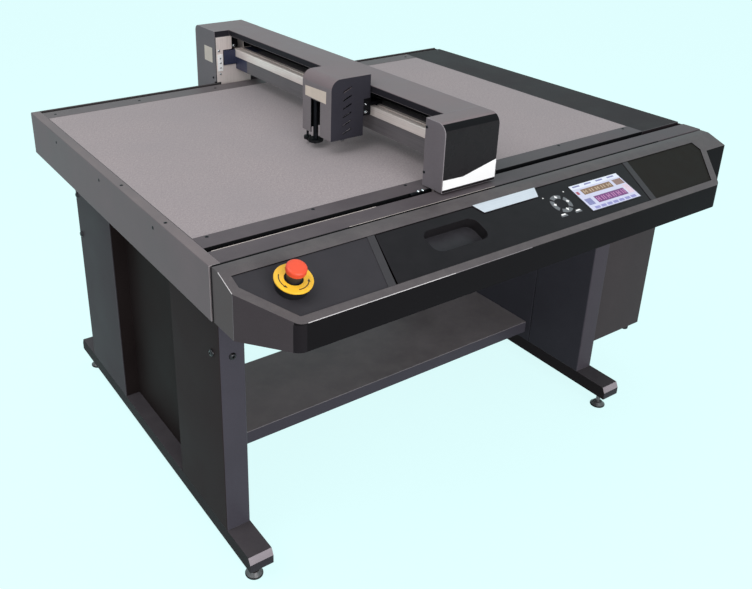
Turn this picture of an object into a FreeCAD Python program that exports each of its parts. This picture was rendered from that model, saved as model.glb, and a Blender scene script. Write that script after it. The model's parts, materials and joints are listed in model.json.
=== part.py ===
# Flatbed die cutter: table on a stand, travelling gantry with a tool head, front console.
# Millimetres, +Z up. Sizes are taken from the table's left front top corner, and every
# piece is then carried to the middle of the footprint, at floor level.
import FreeCAD, Part
import os
import Sketcher

SIZES = {
    "overall": {
        "table_height": 860,
        "table_width": 1400,
        "table_depth": 1036,
        "skirt_height": 112,
        "sheet": 3,
        "thin_sheet": 2,
        "bend": 4,
        "slide_gap": 0.05,
        "free_gap": 0.5,
        "clear_gap": 1,
    },
    "bed": {
        "rail_flange": 23,
        "drive_cover_width": 145,
        "outer_strip": 50,
        "front_slot": 17,
        "inner_strip": 48,
        "rear_lip": 5,
        "rear_slot": 18,
        "rear_strip": 53,
        "mat_drop": 0.5,
        "mat_thickness": 3,
        "plate_thickness": 6,
        "plate_hole": 3,
        "plate_hole_edge": 60,
        "plate_holes_across": 12,
        "plate_holes_deep": 9,
        "frame_tube": 40,
        "front_beam_edge": 35,
        "front_beam_depth": 50,
        "rear_beam_inset": 36,
        "rear_beam_depth": 30,
        "cross_tube": 60,
        "box_inset_left": 30,
        "box_inset_right": 150,
        "box_front": 120,
        "box_back_inset": 81,
        "box_rib": 4,
        "box_port": 12,
        "cover_fold": 12,
    },
    "stand": {
        "post_inset": 85,
        "post_width": 60,
        "front_post_front": 147,
        "front_post_depth": 238,
        "front_post_inner": 193,
        "rear_post_inset": 28,
        "rear_post_depth": 255,
        "rear_post_inner": 193,
        "post_seam": 3,
        "web_recess": 40,
        "foot_rise": 87,
        "foot_height": 38,
        "foot_front": 42,
        "foot_behind": 77,
        "foot_bevel_run": 8,
        "foot_bevel_drop": 16,
        "foot_wall": 6,
        "boss_radius": 14,
        "leveller_front": 80,
        "leveller_behind": 39,
        "leveller_radius": 21,
        "leveller_neck": 12,
        "leveller_height": 12,
        "leveller_stem": 6,
        "leveller_nut": 10,
        "leveller_nut_height": 9,
        "leveller_reach": 25,
        "shelf_front": 360,
        "shelf_depth": 275,
        "shelf_rise": 150,
        "shelf_flange": 37,
        "bolt_head": 6.5,
        "bolt_height": 4,
        "bolt_front_drop": 309,
        "bolt_side_back": 182,
        "bolt_rear_inset": 46,
        "bolt_rear_high": 240,
        "bolt_rear_low": 360,
    },
    "fasteners": {
        "screw_head": 4,
        "screw_height": 0.8,
        "rail_screw_drop": 23,
        "rail_screw_first": 243,
        "rail_screw_pitch": 295,
        "rail_screw_count": 3,
        "strip_screw_first": 50.5,
        "strip_screw_last": 25.5,
        "strip_screw_count": 6,
        "strip_screw_back": 107,
        "rear_screw_inset": 50,
        "flange_screw_front": 205,
        "flange_screw_back": 429,
    },
    "drive": {
        "guide_width": 10,
        "guide_height": 14,
        "front_guide_middle": 58.5,
        "rear_guide_inset": 14,
        "guide_left": 60,
        "guide_right_inset": 55,
        "belt_width": 7,
        "belt_thickness": 1.5,
        "front_belt_front": 52,
        "rear_belt_inset": 21.5,
        "shaft_drop": 30,
        "shaft_inset": 35,
        "shaft_radius": 8,
        "pulley_radius": 12,
        "idler_across": 40,
        "pin_radius": 3,
        "bracket_half": 11,
        "bracket_thickness": 5,
        "bearing_half": 20,
        "front_bearing": 70,
        "rear_bearing_inset": 44,
        "bearing_length": 18,
        "bearing_top": 12,
        "motor_front": 480,
        "motor_length": 100,
        "motor_half": 22,
    },
    "console": {
        "console_left": 3,
        "console_right_inset": 10,
        "console_back": 6,
        "console_flat": 27,
        "console_depth": 174,
        "console_drop": 56,
        "console_cut_side": 78,
        "console_cut_front": 79,
        "console_front_inset": 168,
        "ear_inset": 85,
        "ear_front": 77,
        "console_corner": 25,
        "opening_left": 21,
        "opening_right_inset": 98,
        "opening_back": 16.5,
        "opening_front_inset": 34,
        "opening_side_front": 45,
        "opening_cut_left": 89,
        "opening_cut_inset": 175,
        "panel_lap": 6,
        "panel_thickness": 3,
        "left_split_back": 327,
        "left_split_front": 292,
        "right_split_back": 1042,
        "right_split_front": 1007,
        "split_gap": 4,
        "rib_width": 17,
        "rib_height": 1.5,
        "tray_left": 420,
        "tray_right": 559,
        "tray_back": 42,
        "tray_front": 101,
        "tray_depth": 24,
        "tray_wall": 2,
        "tray_corner": 20,
        "screen_left": 836,
        "screen_width": 159,
        "screen_back": 38,
        "screen_depth": 84,
        "screen_thickness": 1,
        "screen_corner": 3,
        "keys_across": 782,
        "keys_down": 76,
        "keys_radius": 26,
        "keys_bore": 16,
        "keys_angle": 74,
        "keys_height": 0.8,
        "bar_key_left": 761,
        "bar_key_right": 804,
        "bar_key_down": 105,
        "bar_key_half": 9,
        "bar_key_depth": 5,
        "plate_left": 577,
        "plate_right": 755,
        "plate_back": 15.5,
        "plate_front": 41.7,
        "plate_taper": 12,
        "name_plate_height": 1,
    },
    "stop_button": {
        "stop_across": 108.4,
        "stop_down": 75.5,
        "collar_radius": 30,
        "collar_height": 20.5,
        "ring_radius": 35.4,
        "ring_height": 3,
        "ring_bore": 17.5,
        "neck_radius": 13.5,
        "neck_height": 15,
        "neck_rest": 3,
        "panel_hole": 17,
        "cap_radius": 19,
        "cap_height": 15,
        "cap_round": 5,
        "cap_under_round": 5,
        "cap_pin": 5,
        "cap_pin_length": 8,
    },
    "gantry": {
        "cap_left": 548,
        "cap_width": 150,
        "front_cap_front": 21,
        "front_cap_depth": 63,
        "front_cap_bottom": 4,
        "front_cap_round": 24,
        "gantry_top": 153,
        "rear_cap_inset": 6,
        "rear_cap_depth": 125,
        "rear_cap_past": 5,
        "rear_cap_drop": 50,
        "rear_cap_round": 18,
        "cover_left": 596,
        "cover_lip": 17,
        "cover_side": 93,
        "beam_left": 612,
        "beam_right": 692,
        "beam_bottom": 38,
        "beam_top": 97,
        "beam_wall": 4,
        "beam_upright": 8,
        "head_rail_left": 610,
        "head_rail_right": 640,
        "head_rail_bottom": 74,
        "groove_left": 624,
        "groove_width": 6,
        "groove_depth": 6,
        "leg_left": 561,
        "leg_width": 100,
        "leg_thickness": 6,
        "leg_shoulder": 10,
        "front_leg_front": 60,
        "rear_leg_inset": 13,
        "column_right": 600,
        "lug_left": 571,
        "lug_low": 52,
        "lug_high": 98,
        "lug_inset": 17,
        "lug_gap": 2,
        "truck_top": 46,
        "truck_bottom": 70,
        "truck_half": 7.5,
        "clamp_left": 600,
        "clamp_width": 40,
        "clamp_height": 8,
        "tab_width": 29,
        "tab_bottom": 60,
        "tab_top": 90,
        "head_belt_left": 645,
        "head_belt_width": 8,
        "head_belt_middle": 118,
        "head_pulley_radius": 9,
        "head_pulley_bore": 3,
        "front_pulley_back": 78,
        "rear_pulley_behind": 49,
        "arm_thickness": 6,
        "arm_gap": 4,
        "arm_half": 12,
        "motor_plate": 3.5,
        "motor_plate_behind": 76,
        "motor_plate_bottom": 70,
        "head_motor_length": 44,
        "head_motor_half": 25,
        "motor_shaft": 3,
    },
    "head": {
        "hood_left": 483.5,
        "hood_right": 593.5,
        "hood_low_right": 575,
        "hood_step": 124,
        "hood_front": 334.5,
        "hood_back": 454,
        "hood_bottom": 36,
        "hood_top": 180,
        "hood_round": 25,
        "notch_front": 379.5,
        "notch_back": 418.5,
        "notch_top": 119,
        "vent_left": 517,
        "vent_run": 23,
        "vent_rise": 9.6,
        "vent_width": 3,
        "vent_first": 47.8,
        "vent_pitch": 19.8,
        "vent_count": 6,
        "carriage_left": 600,
        "carriage_front": 354,
        "carriage_back": 442,
        "carriage_bottom": 76,
        "carriage_top": 122,
        "carriage_arm": 10,
        "clasp_front": 380,
        "clasp_back": 410,
        "clasp_width": 7,
        "tool_plate_left": 487,
        "tool_plate_front": 345,
        "tool_plate_back": 450,
        "tool_plate_bottom": 128,
        "tool_plate_thickness": 16,
        "neck_left": 576,
        "tool_lift": 6,
        "tool_top": 152,
        "crease_across": 495,
        "crease_back": 414,
        "crease_shank": 6,
        "crease_ring": 18,
        "crease_ring_bottom": 14,
        "crease_ring_top": 20.5,
        "wheel_radius": 5,
        "wheel_slot_top": 16.5,
        "wheel_width": 3,
        "wheel_pin": 1.5,
        "cheek_gap": 0.1,
        "cheek_thickness": 3,
        "cheek_half": 6,
        "cheek_bottom": 8.5,
        "pen_across": 492,
        "pen_back": 444.4,
        "pen_shank": 3,
        "pen_ring": 8.8,
        "pen_ring_bottom": 11,
        "pen_ring_top": 19.5,
        "pen_point": 1,
        "pen_nose": 4,
        "knife_across": 556,
        "knife_back": 390,
        "knife_shank": 11,
        "knife_nose": 5,
        "knife_nose_top": 42,
        "knife_nose_bottom": 10,
        "blade_shank": 3,
        "blade_shank_top": 60,
        "blade_width": 5,
        "blade_thickness": 1,
    },
    "cabinet": {
        "cabinet_front": 160,
        "cabinet_depth": 420,
        "cabinet_overhang": 135,
        "cabinet_top": 180,
        "cabinet_rise": 160,
        "pump_radius": 85,
        "pump_length": 260,
        "pump_overhang": 25,
        "pump_front": 250,
        "pump_foot": 20,
        "pump_wall": 8,
        "duct_radius": 15,
        "duct_inset": 64,
        "duct_back": 370,
        "duct_drop": 40,
    },
}

doc = FreeCAD.newDocument("flatbed_die_cutter")
sheet = doc.addObject("Spreadsheet::Sheet", "Sizes")
QUARTER_TURN = 90
AXES = {"x": FreeCAD.Vector(1, 0, 0), "y": FreeCAD.Vector(0, 1, 0), "z": FreeCAD.Vector(0, 0, 1)}
PLANES = {"x": "YZ_Plane", "y": "XZ_Plane", "z": "XY_Plane"}
TURNS = {
    "x": FreeCAD.Rotation(AXES["y"], QUARTER_TURN),
    "y": FreeCAD.Rotation(AXES["x"], -QUARTER_TURN),
    "z": FreeCAD.Rotation(),
}
HALF = 0.5
SAME = 0.01
parts = []


class Size:
    """A length with its value and the sheet formula that gives it."""

    def __init__(self, value, text):
        self.value = float(value)
        self.text = text

    def __add__(self, other):
        return Size(self.value + value_of(other), f"({self.text}+{text_of(other)})")

    def __radd__(self, other):
        return Size(value_of(other) + self.value, f"({text_of(other)}+{self.text})")

    def __sub__(self, other):
        return Size(self.value - value_of(other), f"({self.text}-{text_of(other)})")

    def __rsub__(self, other):
        return Size(value_of(other) - self.value, f"({text_of(other)}-{self.text})")

    def __mul__(self, other):
        return Size(self.value * value_of(other), f"({self.text}*{text_of(other)})")

    __rmul__ = __mul__

    def __truediv__(self, other):
        return Size(self.value / value_of(other), f"({self.text}/{text_of(other)})")

    def __neg__(self):
        return Size(-self.value, f"(-{self.text})")


def root(length):
    return Size(length.value ** HALF, f"sqrt({length.text})")


def value_of(length):
    return length.value if isinstance(length, Size) else float(length)


def text_of(length):
    return length.text if isinstance(length, Size) else f"({float(length)})"


class Sheet:
    """Gives each named cell of the sheet as a Size."""

    def __init__(self):
        row = 0
        for group, lengths in SIZES.items():
            row += 1
            sheet.set(f"A{row}", group)
            for name, length in lengths.items():
                row += 1
                sheet.set(f"A{row}", name)
                sheet.set(f"B{row}", str(length))
                sheet.setAlias(f"B{row}", name)
                setattr(self, name, Size(length, f"Sizes.{name}"))


d = Sheet()
# Places that keep their distance from the far side, the back, the floor or the console's fold
d.guide_right = d.table_width - d.guide_right_inset
d.shaft_across = d.table_width - d.shaft_inset
d.console_right = d.table_width - d.console_right_inset
d.console_front_right = d.table_width - d.console_front_inset
d.ear_left = d.table_width - d.ear_inset
d.opening_right = d.table_width - d.opening_right_inset
d.opening_cut_right = d.table_width - d.opening_cut_inset
d.pump_across = d.table_width + d.pump_overhang
d.duct_across = d.table_width - d.duct_inset
d.rear_beam_edge = d.table_depth - d.rear_beam_inset
d.box_back = d.table_depth - d.box_back_inset
d.rear_post_back = d.table_depth - d.rear_post_inset
d.foot_back = d.table_depth + d.foot_behind
d.leveller_back = d.table_depth + d.leveller_behind
d.bolt_rear_back = d.table_depth - d.bolt_rear_inset
d.rear_screw_back = d.table_depth - d.rear_screw_inset
d.rear_guide_middle = d.table_depth - d.rear_guide_inset
d.rear_belt_front = d.table_depth - d.rear_belt_inset
d.rear_bearing = d.table_depth - d.rear_bearing_inset
d.rear_cap_front = d.table_depth - d.rear_cap_inset
d.rear_cap_behind = d.table_depth + d.rear_cap_past
d.rear_leg_front = d.table_depth - d.rear_leg_inset
d.lug_front = d.table_depth - d.lug_inset
d.rear_pulley_back = d.table_depth + d.rear_pulley_behind
d.motor_plate_back = d.table_depth + d.motor_plate_behind
d.foot_top = d.table_height - d.foot_rise
d.shelf_drop = d.table_height - d.shelf_rise
d.cabinet_bottom = d.table_height - d.cabinet_rise
d.opening_front = d.console_depth - d.opening_front_inset
strip_screw_span = d.table_width - d.drive_cover_width - d.strip_screw_last - d.strip_screw_first
doc.recompute()


def bind(thing, place, length):
    thing.setExpression(place, text_of(length))


def place_at(thing, x, y, z):
    bind(thing, "Placement.Base.x", x)
    bind(thing, "Placement.Base.y", y)
    bind(thing, "Placement.Base.z", z)


def box(name, x, y, z):
    """A block between two limits on each axis."""
    block = doc.addObject("Part::Box", name)
    bind(block, "Length", x[1] - x[0])
    bind(block, "Width", y[1] - y[0])
    bind(block, "Height", z[1] - z[0])
    place_at(block, x[0], y[0], z[0])
    return block


def along(axis, centre, low):
    """The point at low on an axis, with the other two coordinates given in X, Y, Z order."""
    a, b = centre
    return {"x": (low, a, b), "y": (a, low, b), "z": (a, b, low)}[axis]


def rod(name, axis, radius, centre, span):
    round_bar = doc.addObject("Part::Cylinder", name)
    round_bar.Placement = FreeCAD.Placement(FreeCAD.Vector(), TURNS[axis])
    bind(round_bar, "Radius", radius)
    bind(round_bar, "Height", span[1] - span[0])
    place_at(round_bar, *along(axis, centre, span[0]))
    return round_bar


def cone(name, axis, radii, centre, span):
    taper = doc.addObject("Part::Cone", name)
    taper.Placement = FreeCAD.Placement(FreeCAD.Vector(), TURNS[axis])
    bind(taper, "Radius1", radii[0])
    bind(taper, "Radius2", radii[1])
    bind(taper, "Height", span[1] - span[0])
    place_at(taper, *along(axis, centre, span[0]))
    return taper


def fused(name, *things):
    if len(things) == 1:
        return things[0]
    union = doc.addObject("Part::MultiFuse", name)
    union.Shapes = list(things)
    return union


def group(name, *things):
    """Separate solids that share one node."""
    bundle = doc.addObject("Part::Compound", name)
    bundle.Links = list(things)
    return bundle


def cut(name, base, *tools):
    remainder = doc.addObject("Part::Cut", name)
    remainder.Base = base
    remainder.Tool = fused(name + "_tools", *tools)
    return remainder


def corner_loop(sketch, corners):
    """Straight edges through the corners, each corner held by its two distances."""
    first = sketch.GeometryCount
    spots = [FreeCAD.Vector(value_of(a), value_of(b), 0) for a, b in corners]
    count = len(spots)
    for index in range(count):
        line = Part.LineSegment(spots[index], spots[(index + 1) % count])
        sketch.addGeometry(line, False)
    for index in range(count):
        after = first + (index + 1) % count
        sketch.addConstraint(Sketcher.Constraint("Coincident", first + index, 2, after, 1))
    for index, corner in enumerate(corners):
        for kind, length in zip(("DistanceX", "DistanceY"), corner):
            rule = Sketcher.Constraint(kind, -1, 1, first + index, 1, value_of(length))
            number = sketch.addConstraint(rule)
            bind(sketch, f"Constraints[{number}]", length)


def ring_loop(sketch, centre, radius):
    circle = Part.Circle(FreeCAD.Vector(value_of(centre[0]), value_of(centre[1]), 0), AXES["z"],
                         value_of(radius))
    index = sketch.addGeometry(circle, False)
    rules = (("DistanceX", centre[0]), ("DistanceY", centre[1]))
    for kind, length in rules:
        rule = Sketcher.Constraint(kind, -1, 1, index, 3, value_of(length))
        number = sketch.addConstraint(rule)
        bind(sketch, f"Constraints[{number}]", length)
    number = sketch.addConstraint(Sketcher.Constraint("Radius", index, value_of(radius)))
    bind(sketch, f"Constraints[{number}]", radius)


def drawn(body, name, axis, loops, level):
    """A sketch of closed loops, square to an axis at a level on it."""
    planes = {feature.Role: feature for feature in body.Origin.OriginFeatures}
    sketch = body.newObject("Sketcher::SketchObject", name + "_outline")
    sketch.AttachmentSupport = [(planes[PLANES[axis]], "")]
    sketch.MapMode = "FlatFace"
    bind(sketch, "AttachmentOffset.Base.z", -level if axis == "y" else level)
    for loop in loops:
        if isinstance(loop, tuple):
            ring_loop(sketch, *loop)
        else:
            corner_loop(sketch, loop)
    return sketch


def pad(body, name, axis, loops, span):
    """Adds the loops' area from the low to the high level of the span."""
    far = axis == "y"
    feature = body.newObject("PartDesign::Pad", name)
    feature.Profile = drawn(body, name, axis, loops, span[1] if far else span[0])
    bind(feature, "Length", span[1] - span[0])
    return feature


def pocket(body, name, axis, loops, span):
    """Takes the loops' area away between two levels, and checks that it did."""
    doc.recompute()
    before = body.Shape.Volume
    near = axis == "y"
    sketch = drawn(body, name, axis, loops, span[0] if near else span[1])
    feature = body.newObject("PartDesign::Pocket", name)
    feature.Profile = sketch
    bind(feature, "Length", span[1] - span[0])
    doc.recompute()
    if body.Shape.Volume >= before:
        raise RuntimeError(f"{name} takes nothing away")
    return feature


def profile(name, axis, corners, span, *holes):
    """A body of one section, run along an axis."""
    body = doc.addObject("PartDesign::Body", name)
    pad(body, name + "_pad", axis, [corners, *holes], span)
    return body


def rounded(body, axis, corners, radius):
    """Rounds the edges that run along an axis through the corners of the section."""
    doc.recompute()
    tip = body.Tip
    names = []
    spots = [(value_of(a), value_of(b)) for a, b in corners]
    for number, edge in enumerate(tip.Shape.Edges, 1):
        ends = [vertex.Point for vertex in edge.Vertexes]
        if len(ends) != 2 or (ends[1] - ends[0]).cross(AXES[axis]).Length > SAME:
            continue
        across = {"x": (ends[0].y, ends[0].z), "y": (ends[0].x, ends[0].z), "z": (ends[0].x, ends[0].y)}
        here = across[axis]
        if any(abs(here[0] - a) + abs(here[1] - b) < SAME for a, b in spots):
            names.append(f"Edge{number}")
    if len(names) < len(spots):
        raise RuntimeError(f"{body.Label} has no edge at one of {spots}")
    fillet = body.newObject("PartDesign::Fillet", body.Name + f"_round_{len(body.Group)}")
    fillet.Base = (tip, names)
    bind(fillet, "Radius", radius)
    doc.recompute()
    return fillet


def rim_rounded(body, radius, level, amount):
    """Rounds the circular edge of a radius at a level of a turned body."""
    doc.recompute()
    tip = body.Tip
    names = []
    for number, edge in enumerate(tip.Shape.Edges, 1):
        if not isinstance(edge.Curve, Part.Circle):
            continue
        same_size = abs(edge.Curve.Radius - value_of(radius)) < SAME
        if same_size and abs(edge.Curve.Center.z - value_of(level)) < SAME:
            names.append(f"Edge{number}")
    if not names:
        raise RuntimeError(f"{body.Label} has no rim at that level")
    fillet = body.newObject("PartDesign::Fillet", body.Name + f"_round_{len(body.Group)}")
    fillet.Base = (tip, names)
    bind(fillet, "Radius", amount)
    doc.recompute()
    return fillet


# Places that many pieces share

floor = -d.table_height
mat_right = d.table_width - d.drive_cover_width
slot_front = d.outer_strip
slot_back = d.outer_strip + d.front_slot
mat_front = slot_back + d.inner_strip
rear_slot_back = d.table_depth - d.rear_lip
rear_slot_front = rear_slot_back - d.rear_slot
mat_back = rear_slot_front - d.rear_strip
frame_top = d.frame_tube - d.skirt_height
skirt_bottom = -d.skirt_height
foot_top = -d.foot_top
foot_bottom = foot_top - d.foot_height
middle_x = (d.table_width + d.cabinet_overhang - d.screw_height) * HALF
middle_y = (d.rear_cap_front + d.rear_cap_depth - d.console_depth) * HALF
plate_top = -d.mat_drop - d.mat_thickness
plate_bottom = plate_top - d.plate_thickness
console_run = d.console_depth - d.console_flat
console_slope = d.console_drop / console_run
slope_stretch = root(1 + console_slope * console_slope)
slope_text = f"atan({console_slope.text})"


def keep(label, thing):
    """Names a finished piece and carries it from the table's corner to the row's origin."""
    thing.Label = label
    already = {path.lstrip("."): text for path, text in thing.ExpressionEngine}
    for letter, shift in (("x", -middle_x), ("y", -middle_y), ("z", d.table_height)):
        place = f"Placement.Base.{letter}"
        old = already.get(place)
        thing.setExpression(place, f"{old}+{shift.text}" if old else shift.text)
    parts.append(thing)
    return thing


def keep_tilted(label, thing):
    """The same for a piece drawn square to the console's sloping face: X stays, Y runs
    up the slope from the fold, and Z stands off the face."""
    thing.Label = label
    thing.Placement = FreeCAD.Placement(FreeCAD.Vector(), FreeCAD.Rotation(AXES["x"], 1))
    thing.setExpression("Placement.Rotation.Angle", slope_text)
    place_at(thing, -middle_x, -middle_y - d.console_flat, d.table_height)
    parts.append(thing)
    return thing


# Stand: two side frames with welded webs, foot beams and a shelf between them


def across(side, distance):
    """A distance from the table's left side, or its mirror image on the right."""
    return distance if side == "left" else d.table_width - distance


def section(side, corners):
    return [(across(side, a), b) for a, b in corners]


def side_span(side, low, high):
    """The limits of a span counted from one side of the table, lowest first."""
    return (low, high) if side == "left" else (d.table_width - high, d.table_width - low)


post_out = d.post_inset
post_in = d.post_inset + d.post_width
front_post_back = d.front_post_front + d.front_post_depth
rear_post_front = d.rear_post_back - d.rear_post_depth
web_face = post_out + d.web_recess
post_span = (foot_top, skirt_bottom)


def channel_post(side, name, face, far, inner, fold):
    """A folded channel: a face, a full outer flange and a shorter inner flange.
    fold is +sheet or -sheet, from the face towards the flanges' free edges."""
    corners = [
        (post_out, face),
        (post_in, face),
        (post_in, inner),
        (post_in - d.sheet, inner),
        (post_in - d.sheet, face + fold),
        (post_out + d.sheet, face + fold),
        (post_out + d.sheet, far),
        (post_out, far),
    ]
    post = profile(f"{side}_{name}", "z", section(side, corners), post_span)
    outer = section(side, [(post_out, face), (post_in, face)])
    rounded(post, "z", outer, d.bend)
    inside = section(side, [(post_out + d.sheet, face + fold), (post_in - d.sheet, face + fold)])
    rounded(post, "z", inside, d.bend - d.sheet)
    keep(f"{side}_{name}", post)


def web_panel(side):
    """The recessed web between the posts, with its returns, welded to a flat inner panel."""
    front = front_post_back - d.sheet
    back = rear_post_front + d.sheet
    hat = [
        (post_out + d.sheet, front),
        (web_face + d.sheet, front),
        (web_face + d.sheet, back),
        (post_out + d.sheet, back),
        (post_out + d.sheet, rear_post_front),
        (web_face, rear_post_front),
        (web_face, front_post_back),
        (post_out + d.sheet, front_post_back),
    ]
    web = profile(f"{side}_web", "z", section(side, hat), post_span)
    inner_x = side_span(side, post_in - d.sheet, post_in)
    inner_front = d.front_post_front + d.front_post_inner + d.post_seam
    inner_back = d.rear_post_back - d.rear_post_inner - d.post_seam
    inner = box(f"{side}_inner_panel", inner_x, (inner_front, inner_back), post_span)
    rib_x = side_span(side, web_face + d.sheet, post_in - d.sheet)
    front_rib = box(f"{side}_front_rib", rib_x, (front, front_post_back), post_span)
    back_rib = box(f"{side}_back_rib", rib_x, (rear_post_front, back), post_span)
    keep(f"{side}_web_panel", fused(f"{side}_welded_web", web, inner, front_rib, back_rib))


def foot_beam(side):
    """A channel with bevelled ends, open below, with a boss at each levelling foot."""
    low = foot_top - d.foot_bevel_drop
    outline = [
        (d.foot_front, foot_bottom),
        (d.foot_back, foot_bottom),
        (d.foot_back, low),
        (d.foot_back - d.foot_bevel_run, foot_top),
        (d.foot_front + d.foot_bevel_run, foot_top),
        (d.foot_front, low),
    ]
    beam = profile(f"{side}_foot", "x", outline, side_span(side, post_out, post_in))
    wall = d.foot_wall
    hollow = box(
        f"{side}_foot_hollow",
        side_span(side, post_out + d.sheet, post_in - d.sheet),
        (d.foot_front + wall + d.foot_bevel_run, d.foot_back - wall - d.foot_bevel_run),
        (foot_bottom - d.sheet, foot_top - d.sheet),
    )
    shell = cut(f"{side}_foot_shell", beam, hollow)
    centre_x = across(side, (post_out + post_in) * HALF)
    bosses = []
    holes = []
    for end, y in (("front", d.leveller_front), ("back", d.leveller_back)):
        centre = (centre_x, y)
        top = foot_bottom + d.leveller_reach
        bosses.append(rod(f"{side}_{end}_boss", "z", d.boss_radius, centre, (foot_bottom, foot_top)))
        bore = d.leveller_stem + d.slide_gap
        holes.append(rod(f"{side}_{end}_bore", "z", bore, centre, (foot_bottom - d.sheet, top)))
    keep(f"{side}_foot_beam", cut(f"{side}_foot_bored", fused(f"{side}_bossed", shell, *bosses), *holes))


def levellers():
    feet = []
    for side in ("left", "right"):
        for end, y in (("front", d.leveller_front), ("back", d.leveller_back)):
            name = f"{side}_{end}_leveller"
            centre = (across(side, (post_out + post_in) * HALF), y)
            pad_top = floor + d.leveller_height
            disc = rod(name + "_disc", "z", d.leveller_radius, centre, (floor, floor + d.sheet))
            radii = (d.leveller_radius, d.leveller_neck)
            dome = cone(name + "_dome", "z", radii, centre, (floor + d.sheet, pad_top))
            stem_top = foot_bottom + d.leveller_reach
            stem = rod(name + "_stem", "z", d.leveller_stem, centre, (pad_top, stem_top))
            nut = doc.addObject("Part::Prism", name + "_nut")
            bind(nut, "Circumradius", d.leveller_nut)
            bind(nut, "Height", d.leveller_nut_height)
            place_at(nut, *centre, foot_bottom - d.leveller_nut_height)
            feet.append(fused(name, disc, dome, stem, nut))
    keep("levelling_feet", group("all_levellers", *feet))


def stand_shelf():
    back = d.shelf_front + d.shelf_depth
    top = -d.shelf_drop
    low = top - d.shelf_flange
    outline = [
        (d.shelf_front, low),
        (d.shelf_front + d.sheet, low),
        (d.shelf_front + d.sheet, top - d.sheet),
        (back - d.sheet, top - d.sheet),
        (back - d.sheet, low),
        (back, low),
        (back, top),
        (d.shelf_front, top),
    ]
    tray = profile("shelf_sheet", "x", outline, (post_in, d.table_width - post_in))
    rounded(tray, "x", [(d.shelf_front, top), (back, top)], d.bend)
    keep("shelf", tray)


def button_heads():
    heads = []
    radii = (d.bolt_head, d.bolt_head * HALF)
    rise = d.bolt_height * HALF
    for side in ("left", "right"):
        middle = across(side, (post_out + post_in) * HALF)
        face = d.front_post_front
        spot = (middle, -d.bolt_front_drop)
        disc = rod(f"{side}_front_head", "y", d.bolt_head, spot, (face - rise, face))
        dome = cone(f"{side}_front_dome", "y", radii[::-1], spot, (face - d.bolt_height, face - rise))
        heads.append(fused(f"{side}_front_bolt", disc, dome))
        places = [
            ("rear_high", d.bolt_rear_back, d.bolt_rear_high),
            ("rear_low", d.bolt_rear_back, d.bolt_rear_low),
        ]
        if side == "left":
            places.append(("side", d.bolt_side_back, d.bolt_front_drop))
        for name, y, drop in places:
            disc_x = side_span(side, post_out - rise, post_out)
            dome_x = side_span(side, post_out - d.bolt_height, post_out - rise)
            taper = radii[::-1] if side == "left" else radii
            disc = rod(f"{side}_{name}_head", "x", d.bolt_head, (y, -drop), disc_x)
            dome = cone(f"{side}_{name}_dome", "x", taper, (y, -drop), dome_x)
            heads.append(fused(f"{side}_{name}_bolt", disc, dome))
    keep("stand_bolts", group("all_bolts", *heads))


for side in ("left", "right"):
    front_inner = d.front_post_front + d.front_post_inner
    rear_inner = d.rear_post_back - d.rear_post_inner
    channel_post(side, "front_post", d.front_post_front, front_post_back, front_inner, d.sheet)
    channel_post(side, "rear_post", d.rear_post_back, rear_post_front, rear_inner, -d.sheet)
    web_panel(side)
    foot_beam(side)
levellers()
stand_shelf()
button_heads()

# Table: welded frame, suction box, bed plate, mat, rails, strips and covers

frame_left = d.sheet
frame_right = d.table_width - d.sheet
frame_span = (skirt_bottom, frame_top)
front_beam = (d.front_beam_edge, d.front_beam_edge + d.front_beam_depth)
rear_beam = (d.rear_beam_edge, d.rear_beam_edge + d.rear_beam_depth)
middle_cross = (d.table_width - d.cross_tube) * HALF


def table_frame():
    """Channels open below, so that the feet of the frame stand on the posts."""
    side = (d.sheet, d.table_depth - d.sheet)
    runs = {
        "front_beam": ((frame_left, frame_right), front_beam),
        "rear_beam": ((frame_left, frame_right), rear_beam),
        "left_side": ((frame_left, frame_left + d.frame_tube), side),
        "right_side": ((frame_right - d.frame_tube, frame_right), side),
    }
    starts = {
        "left_cross": post_out,
        "middle_cross": middle_cross,
        "right_cross": d.table_width - post_in,
    }
    for name, start in starts.items():
        runs[name] = ((start, start + d.cross_tube), (front_beam[0], rear_beam[1]))
    outers = []
    hollows = []
    wall = d.sheet
    low = skirt_bottom - wall
    for name, (x, y) in runs.items():
        outers.append(box(name, x, y, frame_span))
        inner_x = (x[0] + wall, x[1] - wall)
        inner_y = (y[0] + wall, y[1] - wall)
        hollows.append(box(name + "_hollow", inner_x, inner_y, (low, frame_top - wall)))
    keep("table_frame", cut("hollow_frame", fused("solid_frame", *outers), *hollows))


def suction_box():
    x = (d.box_inset_left, d.table_width - d.box_inset_right)
    y = (d.box_front, d.box_back)
    block = box("box_outer", x, y, (frame_top, plate_bottom))
    chambers = []
    middle = (x[0] + x[1]) * HALF
    spans = ((x[0] + d.sheet, middle - d.box_rib), (middle + d.box_rib, x[1] - d.sheet))
    for name, span in zip(("left", "right"), spans):
        depth = (y[0] + d.sheet, y[1] - d.sheet)
        chambers.append(box(name + "_chamber", span, depth, (frame_top + d.sheet, plate_bottom + d.sheet)))
    port = rod("box_port", "x", d.box_port, (d.duct_back, -d.duct_drop), (x[1] - d.bend, x[1] + d.sheet))
    link_x = (middle - d.box_port, middle + d.box_port)
    link = rod("rib_port", "x", d.box_port, (d.duct_back, -d.duct_drop), link_x)
    keep("vacuum_box", cut("open_box", block, *chambers, port, link))


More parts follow.
